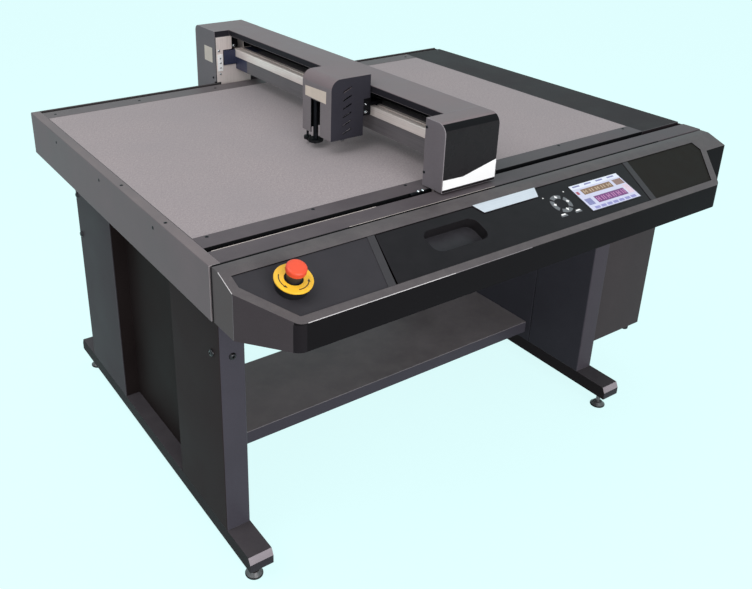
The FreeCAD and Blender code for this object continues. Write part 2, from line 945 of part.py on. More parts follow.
def bed_plate():
    """A flat plate with a grid of suction holes."""
    x = (d.rail_flange, mat_right)
    y = (mat_front, mat_back)
    corners = [(x[0], y[0]), (x[1], y[0]), (x[1], y[1]), (x[0], y[1])]
    plate = profile("bed_sheet", "z", corners, (plate_bottom, plate_top))
    first = (x[0] + d.plate_hole_edge, y[0] + d.plate_hole_edge)
    hole = pocket(plate, "suction_hole", "z", [(first, d.plate_hole)], (plate_bottom, plate_top))
    axes = {feature.Role: feature for feature in plate.Origin.OriginFeatures}
    runs = (("X_Axis", x, d.plate_holes_across), ("Y_Axis", y, d.plate_holes_deep))
    steps = []
    multi = plate.newObject("PartDesign::MultiTransform", "hole_grid")
    multi.Originals = [hole]
    for role, span, count in runs:
        step = plate.newObject("PartDesign::LinearPattern", "holes_along_" + role[0].lower())
        step.Direction = (axes[role], [""])
        bind(step, "Length", span[1] - span[0] - d.plate_hole_edge - d.plate_hole_edge)
        bind(step, "Occurrences", count)
        steps.append(step)
    multi.Transformations = steps
    plate.Tip = multi
    keep("bed_plate", plate)


def cutting_mat():
    left = d.rail_flange
    corners = [(left, mat_front), (mat_right, mat_front), (mat_right, mat_back), (left, mat_back)]
    keep("cutting_mat", profile("mat_sheet", "z", corners, (plate_top, -d.mat_drop)))


def side_rails():
    left = [
        (0, 0),
        (d.rail_flange, 0),
        (d.rail_flange, -d.sheet),
        (d.sheet, -d.sheet),
        (d.sheet, skirt_bottom),
        (0, skirt_bottom),
    ]
    rail = profile("left_rail", "y", left, (0, d.table_depth))
    rounded(rail, "y", [(0, 0)], d.thin_sheet)
    keep("left_side_rail", rail)
    right = (frame_right, d.table_width)
    plate = box("right_rail_plate", right, (0, d.table_depth), (skirt_bottom, -d.sheet))
    ledge = box("right_rail_ledge", (d.table_width - d.rail_flange, frame_right),
                (slot_back + d.bend, rear_slot_front - d.bend), (-d.sheet - d.bend, -d.sheet))
    keep("right_side_rail", fused("right_rail", plate, ledge))


def bed_strips():
    outer = [
        (0, 0),
        (slot_front, 0),
        (slot_front, frame_top),
        (slot_front - d.sheet, frame_top),
        (slot_front - d.sheet, -d.sheet),
        (d.sheet, -d.sheet),
        (d.sheet, skirt_bottom),
        (0, skirt_bottom),
    ]
    strip = profile("outer_sheet", "x", outer, (d.rail_flange, frame_right))
    rounded(strip, "x", [(0, 0)], d.thin_sheet)
    keep("front_outer_strip", strip)
    inner = [
        (slot_back, 0),
        (mat_front, 0),
        (mat_front, -d.sheet),
        (slot_back + d.sheet, -d.sheet),
        (slot_back + d.sheet, frame_top),
        (slot_back, frame_top),
    ]
    keep("front_inner_strip", profile("inner_sheet", "x", inner, (d.rail_flange, mat_right)))
    rear = [
        (mat_back, 0),
        (rear_slot_front, 0),
        (rear_slot_front, frame_top),
        (rear_slot_front - d.sheet, frame_top),
        (rear_slot_front - d.sheet, -d.sheet),
        (mat_back, -d.sheet),
    ]
    keep("rear_strip", profile("rear_sheet", "x", rear, (d.rail_flange, mat_right)))
    back = d.table_depth
    fascia = [
        (rear_slot_back, 0),
        (back, 0),
        (back, skirt_bottom),
        (back - d.sheet, skirt_bottom),
        (back - d.sheet, -d.sheet),
        (rear_slot_back, -d.sheet),
    ]
    keep("rear_fascia", profile("fascia_sheet", "x", fascia, (d.rail_flange, frame_right)))


def drive_cover():
    """The removable cover over the drive shaft, with a stiffening fold at each end."""
    low = -d.cover_fold
    outline = [
        (slot_back, 0),
        (rear_slot_front, 0),
        (rear_slot_front, low),
        (rear_slot_front - d.sheet, low),
        (rear_slot_front - d.sheet, -d.sheet),
        (slot_back + d.sheet, -d.sheet),
        (slot_back + d.sheet, low),
        (slot_back, low),
    ]
    top = profile("cover_sheet", "x", outline, (mat_right, d.table_width))
    relief = []
    for name, y in (("front", (slot_back - d.sheet, slot_back + d.bend)),
                    ("rear", (rear_slot_front - d.bend, rear_slot_front + d.sheet))):
        relief.append(box(name + "_relief", (frame_right - d.free_gap, d.table_width + d.sheet), y,
                          (low - d.sheet, -d.sheet)))
    keep("drive_cover", cut("relieved_cover", top, *relief))


def cover_screws():
    """Flat screw heads on the rails and strips."""
    heads = []
    rise = (0, d.screw_height)
    for number in range(int(value_of(d.strip_screw_count))):
        x = d.strip_screw_first + number * strip_screw_span / (d.strip_screw_count - 1)
        for name, y in (("inner", d.strip_screw_back), ("rear", d.rear_screw_back)):
            heads.append(rod(f"{name}_strip_screw_{number}", "z", d.screw_head, (x, y), rise))
    for name, y in (("front", d.flange_screw_front), ("back", d.flange_screw_back)):
        heads.append(rod(f"{name}_flange_screw", "z", d.screw_head, (d.rail_flange * HALF, y), rise))
    right = d.table_width
    sides = {"left": (-d.screw_height, 0), "right": (right, right + d.screw_height)}
    for number in range(int(value_of(d.rail_screw_count))):
        y = d.rail_screw_first + number * d.rail_screw_pitch
        spot = (y, -d.rail_screw_drop)
        for side, x in sides.items():
            heads.append(rod(f"{side}_rail_screw_{number}", "x", d.screw_head, spot, x))
    keep("cover_screws", group("all_screws", *heads))


table_frame()
suction_box()
bed_plate()
cutting_mat()
side_rails()
bed_strips()
drive_cover()
cover_screws()

# Gantry drive in the table: guides, belts, shaft, pulleys and motor

guide_top = frame_top + d.guide_height
shaft_level = -d.shaft_drop
belt_radius = d.pulley_radius + d.belt_thickness
drive_rows = {
    "front": (d.front_belt_front, d.front_guide_middle, d.front_leg_front),
    "rear": (d.rear_belt_front, d.rear_guide_middle, d.rear_leg_front),
}


def stadium(name, axis, radius, ends, level, span):
    """A belt's outline filled in: a block with a round end at each pulley."""
    low, high = level - radius, level + radius
    if axis == "y":
        block = box(name + "_middle", ends, span, (low, high))
    else:
        block = box(name + "_middle", span, ends, (low, high))
    rounds = []
    for place, end in zip(("near", "far"), ends):
        rounds.append(rod(f"{name}_{place}_end", axis, radius, (end, level), span))
    return fused(name, block, *rounds)


def belt_loop(name, axis, radius, thickness, ends, level, span):
    outer = stadium(name + "_outer", axis, radius + thickness, ends, level, span)
    inner = stadium(name + "_inner", axis, radius + d.slide_gap, ends, level, span)
    return cut(name, outer, inner)


def gantry_drive():
    guides = []
    belts = []
    pulleys = []
    idlers = []
    brackets = []
    for name, (belt_front, guide_middle, leg_front) in drive_rows.items():
        half = d.guide_width * HALF
        guides.append(box(name + "_guide", (d.guide_left, d.guide_right),
                          (guide_middle - half, guide_middle + half), (frame_top, guide_top)))
        run = (belt_front, belt_front + d.belt_width)
        ends = (d.idler_across, d.shaft_across)
        loop = belt_loop(name + "_belt", "y", d.pulley_radius, d.belt_thickness, ends, shaft_level, run)
        belts.append(loop)
        spot = (d.shaft_across, shaft_level)
        pulleys.append(rod(name + "_pulley", "y", d.pulley_radius, spot, run))
        spot = (d.idler_across, shaft_level)
        wheel = rod(name + "_idler_disc", "y", d.pulley_radius, spot, run)
        bore = rod(name + "_idler_bore", "y", d.pin_radius + d.slide_gap, spot, run)
        idlers.append(cut(name + "_idler", wheel, bore))
        x = (d.idler_across - d.bracket_half, d.idler_across + d.bracket_half)
        plate = box(name + "_bracket_plate", x, (leg_front, leg_front + d.bracket_thickness),
                    (frame_top, shaft_level + d.pulley_radius))
        pin = rod(name + "_pin", "y", d.pin_radius, spot, (belt_front, leg_front))
        brackets.append(fused(name + "_bracket", plate, pin))
    front = d.front_belt_front
    back = d.rear_belt_front + d.belt_width
    shaft = rod("shaft_bar", "y", d.shaft_radius, (d.shaft_across, shaft_level), (front, back))
    for name, y in (("front", d.front_bearing), ("rear", d.rear_bearing)):
        x = (d.shaft_across - d.bearing_half, d.shaft_across + d.bearing_half)
        run = (y, y + d.bearing_length)
        block = box(name + "_bearing_block", x, run, (frame_top, -d.bearing_top))
        axis = (d.shaft_across, shaft_level)
        bore = rod(name + "_bearing_bore", "y", d.shaft_radius + d.slide_gap, axis, run)
        brackets.append(cut(name + "_bearing", block, bore))
    keep("track_rails", group("both_guides", *guides))
    keep("track_belts", group("both_belts", *belts))
    keep("drive_shaft", fused("shaft_and_pulleys", shaft, *pulleys))
    keep("drive_brackets", group("all_brackets", *brackets))
    keep("idler_pulleys", group("both_idlers", *idlers))
    run = (d.motor_front, d.motor_front + d.motor_length)
    x = (d.shaft_across - d.bearing_half, d.shaft_across + d.bearing_half)
    body = box("motor_block", x, run, (frame_top, shaft_level + d.motor_half))
    bore = rod("motor_bore", "y", d.shaft_radius + d.slide_gap, (d.shaft_across, shaft_level), run)
    keep("drive_motor", cut("bored_motor", body, bore))


gantry_drive()

# Console: a folded shell in front of the table, with panels, screen, keys and stop button

panel_top = -d.thin_sheet
panel_low = panel_top - d.panel_thickness


def plan_outline(inset):
    """The console seen from above, drawn in by an inset on each side."""
    cut_run = inset * HALF
    return [
        (d.console_left + inset, -d.console_back - inset),
        (d.console_left + inset, -d.console_cut_side + cut_run),
        (d.console_cut_front + cut_run, -d.console_depth + inset),
        (d.console_front_right - cut_run, -d.console_depth + inset),
        (d.ear_left - cut_run, -d.ear_front + inset),
        (d.console_right - inset, -d.ear_front + inset),
        (d.console_right - inset, -d.console_back - inset),
    ]


def side_outline(inset):
    """The console seen from its end: a flat strip, the slope, and a flat bottom. The
    inset is a wall square to each face."""
    front = -d.console_depth - d.sheet
    drop = -console_slope * (d.console_depth + d.sheet - d.console_flat)
    return [
        (0, -inset),
        (inset * (slope_stretch - 1) / console_slope - d.console_flat, -inset),
        (front, drop - inset * slope_stretch),
        (front, skirt_bottom + inset),
        (0, skirt_bottom + inset),
    ]


def opening_outline(lap):
    """The window in the sloping face, in the face's own frame, grown by a lap."""
    return [
        (d.opening_left - lap, -d.opening_back + lap),
        (d.opening_left - lap, -d.opening_side_front - lap * HALF),
        (d.opening_cut_left - lap * HALF, -d.opening_front - lap),
        (d.opening_cut_right + lap * HALF, -d.opening_front - lap),
        (d.opening_right + lap, -d.opening_side_front - lap * HALF),
        (d.opening_right + lap, -d.opening_back + lap),
    ]


def tilted_tool(thing):
    """Turns a tool that is drawn in the sloping face's frame to lie on the face."""
    thing.Placement = FreeCAD.Placement(FreeCAD.Vector(), FreeCAD.Rotation(AXES["x"], 1))
    thing.setExpression("Placement.Rotation.Angle", slope_text)
    place_at(thing, 0, -d.console_flat, 0)
    return thing


def console_shell():
    skin = d.thin_sheet
    plan = profile("console_plan", "z", plan_outline(0), (skirt_bottom, 0))
    corner = [(d.console_cut_front, -d.console_depth), (d.console_front_right, -d.console_depth)]
    rounded(plan, "z", corner, d.console_corner)
    ends = (0, d.table_width)
    outer = doc.addObject("Part::Common", "console_outer")
    outer.Base = plan
    outer.Tool = profile("console_side", "x", side_outline(0), ends)
    hollow = doc.addObject("Part::Common", "console_hollow")
    hollow.Base = profile("console_plan_inside", "z", plan_outline(skin), (skirt_bottom, 0))
    hollow.Tool = profile("console_side_inside", "x", side_outline(skin), ends)
    window = tilted_tool(profile("console_window", "z", opening_outline(0), (-skin - d.free_gap, skin)))
    spacers = []
    for side in ("left", "right"):
        spacers.append(box(f"{side}_spacer", side_span(side, post_out, post_in), (-d.console_back, 0),
                           (skirt_bottom, frame_top)))
    keep("console_shell", fused("console_welded", cut("console_open", outer, hollow, window), *spacers))


def side_panels():
    """The matt panels at the two ends, each with a raised rib beside the middle one."""
    lap = d.panel_lap
    back = -d.opening_back + lap
    front = -d.opening_front - lap
    left = [
        (d.opening_left - lap, back),
        (d.opening_left - lap, -d.opening_side_front - lap * HALF),
        (d.opening_cut_left - lap * HALF, front),
        (d.left_split_front, front),
        (d.left_split_back, back),
    ]
    hole = ((d.stop_across, -d.stop_down), d.panel_hole)
    plate = profile("left_plate", "z", left, (panel_low, panel_top), hole)
    right = [
        (d.right_split_back, back),
        (d.right_split_front, front),
        (d.opening_cut_right + lap * HALF, front),
        (d.opening_right + lap, -d.opening_side_front - lap * HALF),
        (d.opening_right + lap, back),
    ]
    flat = profile("right_plate", "z", right, (panel_low, panel_top))
    rib_back = -d.opening_back - d.free_gap
    rib_front = -d.opening_front + d.free_gap
    bars = []
    starts = {
        "left": (d.left_split_back - d.rib_width, d.left_split_front - d.rib_width),
        "right": (d.right_split_back, d.right_split_front),
    }
    for side, (x_back, x_front) in starts.items():
        rib = [
            (x_back, rib_back),
            (x_front, rib_front),
            (x_front + d.rib_width, rib_front),
            (x_back + d.rib_width, rib_back),
        ]
        bars.append(profile(side + "_rib_bar", "z", rib, (panel_top, panel_top + d.rib_height)))
    left_plate = fused("left_ribbed_plate", plate, bars[0])
    right_plate = fused("right_ribbed_plate", flat, bars[1])
    keep_tilted("console_side_panels", group("two_panels", left_plate, right_plate))


def centre_panel():
    """The glossy panel with its pen tray."""
    lap = d.panel_lap
    back = -d.opening_back + lap
    front = -d.opening_front - lap
    outline = [
        (d.left_split_back + d.split_gap, back),
        (d.left_split_front + d.split_gap, front),
        (d.right_split_front, front),
        (d.right_split_back, back),
    ]
    panel = profile("gloss_plate", "z", outline, (panel_low, panel_top))
    wall = d.tray_wall
    tray = [
        (d.tray_left - wall, -d.tray_back + wall),
        (d.tray_left - wall, -d.tray_front - wall),
        (d.tray_right + wall, -d.tray_front - wall),
        (d.tray_right + wall, -d.tray_back + wall),
    ]
    tray_floor = panel_top - d.tray_depth
    pad(panel, "tray_wall", "z", [tray], (tray_floor - wall, panel_low))
    hollow = [
        (d.tray_left, -d.tray_back),
        (d.tray_left, -d.tray_front),
        (d.tray_right, -d.tray_front),
        (d.tray_right, -d.tray_back),
    ]
    pocket(panel, "tray_hollow", "z", [hollow], (tray_floor, panel_top))
    rounded(panel, "z", hollow, d.tray_corner)
    keep_tilted("console_centre_panel", panel)


def screen_and_keys():
    corners = [
        (d.screen_left, -d.screen_back),
        (d.screen_left, -d.screen_back - d.screen_depth),
        (d.screen_left + d.screen_width, -d.screen_back - d.screen_depth),
        (d.screen_left + d.screen_width, -d.screen_back),
    ]
    screen = profile("screen_plate", "z", corners, (panel_top, panel_top + d.screen_thickness))
    rounded(screen, "z", corners, d.screen_corner)
    keep_tilted("touch_screen", screen)
    keys = []
    centre = (d.keys_across, -d.keys_down)
    rise = (panel_top, panel_top + d.keys_height)
    for number, name in enumerate(("right", "back", "left", "front")):
        sector = rod(name + "_key_sector", "z", d.keys_radius, centre, rise)
        bind(sector, "Angle", d.keys_angle)
        turn = FreeCAD.Rotation(AXES["z"], number * QUARTER_TURN - value_of(d.keys_angle) * HALF)
        sector.Placement = FreeCAD.Placement(sector.Placement.Base, turn)
        hub = rod(name + "_key_bore", "z", d.keys_bore, centre, rise)
        keys.append(cut(name + "_key", sector, hub))
    for name, x in (("left", d.bar_key_left), ("right", d.bar_key_right)):
        span = (x - d.bar_key_half, x + d.bar_key_half)
        depth = (-d.bar_key_down - d.bar_key_depth, -d.bar_key_down)
        keys.append(box(name + "_bar_key", span, depth, rise))
    keep_tilted("console_keys", group("all_keys", *keys))
    outline = [
        (d.plate_left, -d.plate_back),
        (d.plate_left + d.plate_taper, -d.plate_front),
        (d.plate_right - d.plate_taper, -d.plate_front),
        (d.plate_right, -d.plate_back),
    ]
    badge = profile("bare_plate", "z", outline, (0, d.name_plate_height))
    keep_tilted("name_plate", badge)


def stop_button():
    """Collar, guard ring, sliding neck and turning mushroom, on one axis square to the panel."""
    centre = (d.stop_across, -d.stop_down)
    bore = d.neck_radius + d.slide_gap
    collar_top = panel_top + d.collar_height
    ring_top = collar_top + d.ring_height
    neck_low = panel_top + d.neck_rest
    neck_top = ring_top + d.neck_height
    span = (panel_top, collar_top)
    collar = doc.addObject("PartDesign::Body", "collar_body")
    pad(collar, "collar_pad", "z", [(centre, d.collar_radius), (centre, bore)], span)
    keep_tilted("estop_collar", collar)
    ring = doc.addObject("PartDesign::Body", "ring_body")
    pad(ring, "ring_pad", "z", [(centre, d.ring_radius), (centre, d.ring_bore)], (collar_top, ring_top))
    rim_rounded(ring, d.ring_radius, ring_top, d.thin_sheet * HALF)
    keep_tilted("estop_ring", ring)
    neck = doc.addObject("PartDesign::Body", "neck_body")
    hole = d.cap_pin + d.slide_gap
    pad(neck, "neck_pad", "z", [(centre, d.neck_radius), (centre, hole)], (neck_low, neck_top))
    keep_tilted("estop_stem", neck)
    cap = doc.addObject("PartDesign::Body", "cap_body")
    low = neck_top + d.slide_gap
    pad(cap, "cap_pad", "z", [(centre, d.cap_radius)], (low, low + d.cap_height))
    rim_rounded(cap, d.cap_radius, low + d.cap_height, d.cap_round)
    rim_rounded(cap, d.cap_radius, low, d.cap_under_round)
    pad(cap, "cap_pin_pad", "z", [(centre, d.cap_pin)], (low - d.cap_pin_length, low))
    keep_tilted("estop_cap", cap)


console_shell()
side_panels()
centre_panel()
screen_and_keys()
stop_button()

# Gantry: beam, rail, cover, caps, legs, trucks and the head's drive

cap_right = d.cap_left + d.cap_width
front_cap_back = d.front_cap_front + d.front_cap_depth
rear_cap_back = d.rear_cap_front + d.rear_cap_depth
beam_span = (d.front_leg_front + d.leg_thickness, d.rear_leg_front)
cover_top = d.gantry_top
leg_top = cover_top - d.cover_lip - d.free_gap


def beam():
    wall = d.beam_wall
    under = cover_top - d.sheet
    upright = d.beam_right - d.beam_upright
    outer = [
        (d.beam_left, d.beam_bottom),
        (d.beam_right, d.beam_bottom),
        (d.beam_right, under),
        (upright, under),
        (upright, d.beam_top),
        (d.head_rail_right, d.beam_top),
        (d.head_rail_right, d.head_rail_bottom),
        (d.beam_left, d.head_rail_bottom),
    ]
    inner = [
        (d.beam_left + wall, d.beam_bottom + wall),
        (d.beam_right - wall, d.beam_bottom + wall),
        (d.beam_right - wall, d.beam_top - wall),
        (d.head_rail_right + wall, d.beam_top - wall),
        (d.head_rail_right + wall, d.head_rail_bottom - wall),
        (d.beam_left + wall, d.head_rail_bottom - wall),
    ]
    section = profile("beam_section", "y", outer, beam_span, inner)
    lug_right = d.head_rail_left - d.slide_gap
    lug_outline = [
        (d.lug_left + d.lug_gap, d.lug_low + d.lug_gap),
        (d.beam_left, d.lug_low + d.lug_gap),
        (d.beam_left, d.head_rail_bottom),
        (lug_right, d.head_rail_bottom),
        (lug_right, d.lug_high - d.lug_gap),
        (d.lug_left + d.lug_gap, d.lug_high - d.lug_gap),
    ]
    lug = profile("beam_lug", "y", lug_outline, (d.lug_front, d.rear_cap_front - d.lug_gap))
    keep("gantry_beam", fused("beam_with_lug", section, lug))
    groove_right = d.groove_left + d.groove_width
    groove_low = d.beam_top - d.groove_depth
    rail = [
        (d.head_rail_left, d.head_rail_bottom),
        (d.head_rail_right, d.head_rail_bottom),
        (d.head_rail_right, d.beam_top),
        (groove_right, d.beam_top),
        (groove_right, groove_low),
        (d.groove_left, groove_low),
        (d.groove_left, d.beam_top),
        (d.head_rail_left, d.beam_top),
    ]
    bar = profile("rail_section", "y", rail, beam_span)
    edges = [(d.head_rail_left, d.head_rail_bottom), (d.head_rail_left, d.beam_top)]
    rounded(bar, "y", edges, d.thin_sheet)
    keep("head_rail", bar)


def beam_cover():
    under = cover_top - d.sheet
    low = cover_top - d.cover_side
    outline = [
        (d.cover_left, cover_top - d.cover_lip),
        (d.cover_left + d.sheet, cover_top - d.cover_lip),
        (d.cover_left + d.sheet, under),
        (cap_right - d.sheet, under),
        (cap_right - d.sheet, low),
        (cap_right, low),
        (cap_right, cover_top),
        (d.cover_left, cover_top),
    ]
    sheet_cover = profile("long_cover", "y", outline, (front_cap_back, d.rear_cap_front))
    rounded(sheet_cover, "y", [(d.cover_left, cover_top), (cap_right, cover_top)], d.thin_sheet)
    keep("beam_cover", sheet_cover)


def cap_block(name, y, z, x, edge, radius):
    corners = [(y[0], z[0]), (y[1], z[0]), (y[1], z[1]), (y[0], z[1])]
    block = profile(name, "x", corners, x)
    rounded(block, "x", [edge], radius)
    return block


def end_caps():
    wall = d.sheet
    outer_x = (d.cap_left, cap_right)
    inner_x = (d.cap_left + wall, cap_right - wall)
    window_x = (d.cover_left + wall, cap_right - wall)
    top = cover_top - wall
    front = d.front_cap_front
    bottom = d.front_cap_bottom
    outer = cap_block("front_cap_outer", (front, front_cap_back), (bottom, cover_top), outer_x,
                      (front, cover_top), d.front_cap_round)
    inner = cap_block("front_cap_inner", (front + wall, front_cap_back - wall), (bottom - wall, top), inner_x,
                      (front + wall, top), d.front_cap_round - wall)
    window_y = (front_cap_back - wall - d.free_gap, front_cap_back + wall)
    window = box("front_cap_window", window_x, window_y, (bottom - wall, top))
    keep("front_cap", cut("front_cap_shell", outer, inner, window))
    low = -d.rear_cap_drop
    front = d.rear_cap_front
    outer = cap_block("rear_cap_outer", (front, rear_cap_back), (low, cover_top), outer_x,
                      (rear_cap_back, cover_top), d.rear_cap_round)
    inner = cap_block("rear_cap_inner", (front - wall, rear_cap_back - wall), (low + wall, top), inner_x,
                      (rear_cap_back - wall, top), d.rear_cap_round - wall)
    step_x = (d.cap_left - wall, cap_right + wall)
    step = box("rear_cap_step", step_x, (front - wall, d.rear_cap_behind), (low - wall, d.front_cap_bottom))
    lip_z = (cover_top - d.cover_lip, cover_top)
    lip = box("rear_cap_lip", (d.cap_left, d.cover_left), (front, front + wall), lip_z)
    keep("rear_cap", fused("rear_cap_lipped", cut("rear_cap_shell", outer, inner, step), lip))


def leg_plate(name, leg_front):
    """A plate through the slot: narrow below its shoulder, as wide as the beam above."""
    outline = [
        (d.leg_left, -d.truck_top),
        (d.leg_left + d.leg_width, -d.truck_top),
        (d.leg_left + d.leg_width, d.leg_shoulder),
        (d.beam_right, d.leg_shoulder),
        (d.beam_right, leg_top),
        (d.leg_left, leg_top),
    ]
    return profile(name, "y", outline, (leg_front, leg_front + d.leg_thickness))


def rear_leg_plate():
    """Its column stands beside the rail's end, with a notch for the beam's lug."""
    outline = [
        (d.leg_left, -d.truck_top),
        (d.leg_left + d.leg_width, -d.truck_top),
        (d.leg_left + d.leg_width, d.leg_shoulder),
        (d.beam_right, d.leg_shoulder),
        (d.beam_right, d.lug_high),
        (d.beam_left, d.lug_high),
        (d.beam_left, d.lug_low),
        (d.lug_left, d.lug_low),
        (d.lug_left, d.lug_high),
        (d.column_right, d.lug_high),
        (d.column_right, leg_top),
        (d.cap_left, leg_top),
        (d.cap_left, d.front_cap_bottom),
        (d.leg_left, d.front_cap_bottom),
    ]
    return profile("rear_leg_sheet", "y", outline, (d.rear_leg_front, d.rear_leg_front + d.leg_thickness))


def belt_clamp(name, belt_front, leg_front):
    low = shaft_level + belt_radius + d.free_gap
    return box(name, (d.clamp_left, d.clamp_left + d.clamp_width), (belt_front, leg_front),
               (low, low + d.clamp_height))


def legs():
    arm_left = d.head_belt_left + d.head_belt_width + d.arm_gap
    middle = d.head_belt_middle
    front_back = d.front_leg_front + d.leg_thickness
    plate = leg_plate("front_leg_plate", d.front_leg_front)
    clamp = belt_clamp("front_belt_clamp", d.front_belt_front, d.front_leg_front)
    tab_x = (d.leg_left, d.leg_left + d.tab_width)
    tab = box("front_cap_tab", tab_x, (front_back, front_cap_back - d.sheet), (d.tab_bottom, d.tab_top))
    arm = box("idler_arm", (arm_left, arm_left + d.arm_thickness), (front_back, d.front_pulley_back + d.bend),
              (middle - d.arm_half, middle + d.arm_half))
    pin = rod("idler_pin", "x", d.head_pulley_bore, (d.front_pulley_back, middle),
              (d.head_belt_left, arm_left))
    keep("front_leg", fused("front_leg_welded", plate, clamp, tab, arm, pin))
    rear_back = d.rear_leg_front + d.leg_thickness
    plate = rear_leg_plate()
    clamp = belt_clamp("rear_belt_clamp", d.rear_belt_front, d.rear_leg_front)
    flange_x = (d.cap_left + d.sheet, d.cap_left + d.sheet + d.leg_thickness)
    tab = box("rear_cap_tab", flange_x, (rear_back, rear_back + d.tab_width), (d.tab_bottom, d.tab_top))
    plate_right = d.head_belt_left - d.thin_sheet * HALF
    plate_left = plate_right - d.motor_plate
    motor_plate = box("motor_plate", (plate_left, plate_right), (rear_back, d.motor_plate_back),
                      (d.motor_plate_bottom, leg_top))
    bore = rod("motor_shaft_bore", "x", d.motor_shaft + d.bend, (d.rear_pulley_back, middle),
               (plate_left - d.sheet, plate_right + d.sheet))
    keep("rear_leg", cut("rear_leg_cut", fused("rear_leg_welded", plate, clamp, tab, motor_plate), bore))
    motor_x = (plate_left - d.head_motor_length, plate_left)
    half = d.head_motor_half
    case = box("head_motor_case", motor_x, (d.rear_pulley_back - half, d.rear_pulley_back + half),
               (middle - half, middle + half))
    hollow = rod("head_motor_bore", "x", d.motor_shaft + d.slide_gap, (d.rear_pulley_back, middle), motor_x)
    keep("head_motor", cut("head_motor_bored", case, hollow))


def head_drive():
    middle = d.head_belt_middle
    run = (d.head_belt_left, d.head_belt_left + d.head_belt_width)
    ends = (d.front_pulley_back, d.rear_pulley_back)
    radius = d.head_pulley_radius
    keep("head_belt", belt_loop("head_belt_loop", "x", radius, d.belt_thickness, ends, middle, run))
    disc = rod("idler_disc", "x", radius, (d.front_pulley_back, middle), run)
    bore = rod("idler_bore", "x", d.head_pulley_bore + d.slide_gap, (d.front_pulley_back, middle), run)
    keep("head_idler", cut("head_idler_bored", disc, bore))
    disc = rod("drive_disc", "x", radius, (d.rear_pulley_back, middle), run)
    tail = d.head_motor_length * HALF
    shaft = rod("drive_spindle", "x", d.motor_shaft, (d.rear_pulley_back, middle), (run[0] - tail, run[1]))
    keep("head_drive_pulley", fused("pulley_and_spindle", disc, shaft))


def trucks():
    """A channel-shaped slide on each table guide, under its leg."""
    blocks = []
    x = (d.leg_left, d.leg_left + d.leg_width)
    for name, (belt_front, guide_middle, leg_front) in drive_rows.items():
        half = d.guide_width * HALF + d.slide_gap
        block = box(name + "_truck_block", x, (guide_middle - d.truck_half, guide_middle + d.truck_half),
                    (-d.truck_bottom, -d.truck_top))
        channel_z = (-d.truck_bottom - d.sheet, guide_top + d.slide_gap)
        channel = box(name + "_truck_channel", (x[0] - d.sheet, x[1] + d.sheet),
                      (guide_middle - half, guide_middle + half), channel_z)
        blocks.append(cut(name + "_truck", block, channel))
    keep("gantry_trucks", group("both_trucks", *blocks))


beam()
beam_cover()
end_caps()
legs()
head_drive()
trucks()

# Tool head: carriage on the beam's rail, hood, and three tools that drop to the mat

plate_span = (d.tool_plate_bottom, d.tool_plate_bottom + d.tool_plate_thickness)
tools = {
    "crease": (d.crease_across, d.crease_back, d.crease_shank),
    "pen": (d.pen_across, d.pen_back, d.pen_shank),
    "knife": (d.knife_across, d.knife_back, d.knife_shank),
}


def carriage():
    gap = d.slide_gap
    run = (d.carriage_front, d.carriage_back)
    face = d.head_rail_left - gap
    arm_low = d.beam_top + gap
    arm_top = arm_low + d.carriage_arm
    plate = box("carriage_plate", (d.carriage_left, face), run, (d.carriage_bottom, d.carriage_top))
    arm_right = d.head_belt_left - d.thin_sheet * HALF
    arm = box("carriage_arm_block", (face, arm_right), run, (arm_low, arm_top))
    key = box("carriage_key", (d.groove_left + gap, d.groove_left + d.groove_width - gap), run,
              (d.beam_top - d.groove_depth + gap, arm_low))
    clasp = (d.clasp_front, d.clasp_back)
    run_top = d.head_belt_middle + d.head_pulley_radius
    run_low = d.head_belt_middle - d.head_pulley_radius
    post = box("clasp_post", (arm_right - d.clasp_width, arm_right), clasp, (arm_top, run_top))
    tongue = box("clasp_tongue", (arm_right, d.head_belt_left + d.head_belt_width), clasp,
                 (run_low + d.free_gap, run_top))
    inside = (d.hood_front + d.sheet, d.hood_back - d.sheet)
    under_hood = d.hood_top - d.sheet
    neck = box("carriage_neck", (d.neck_left, d.hood_right), inside, (d.hood_step, under_hood))
    bridge_top = cover_top - d.cover_lip - d.clear_gap
    bridge = box("carriage_bridge", (d.hood_right, d.carriage_left), run, (d.hood_step, bridge_top))
    joint = box("carriage_joint", (d.hood_low_right, d.carriage_left), run, (d.carriage_bottom, d.hood_step))
    upper = box("carriage_head_block", (d.carriage_left, face), run, (d.carriage_top, d.hood_step))
    shelf_y = (d.tool_plate_front, d.tool_plate_back)
    shelf = box("tool_plate", (d.tool_plate_left, d.neck_left), shelf_y, plate_span)
    solid = fused("carriage_solid", plate, arm, key, post, tongue, neck, bridge, joint, upper, shelf)
    bores = []
    for name, (x, y, radius) in tools.items():
        bores.append(rod(name + "_guide_bore", "z", radius + gap, (x, y),
                         (plate_span[0] - d.sheet, plate_span[1] + d.sheet)))
    keep("head_carriage", cut("carriage_bored", solid, *bores))


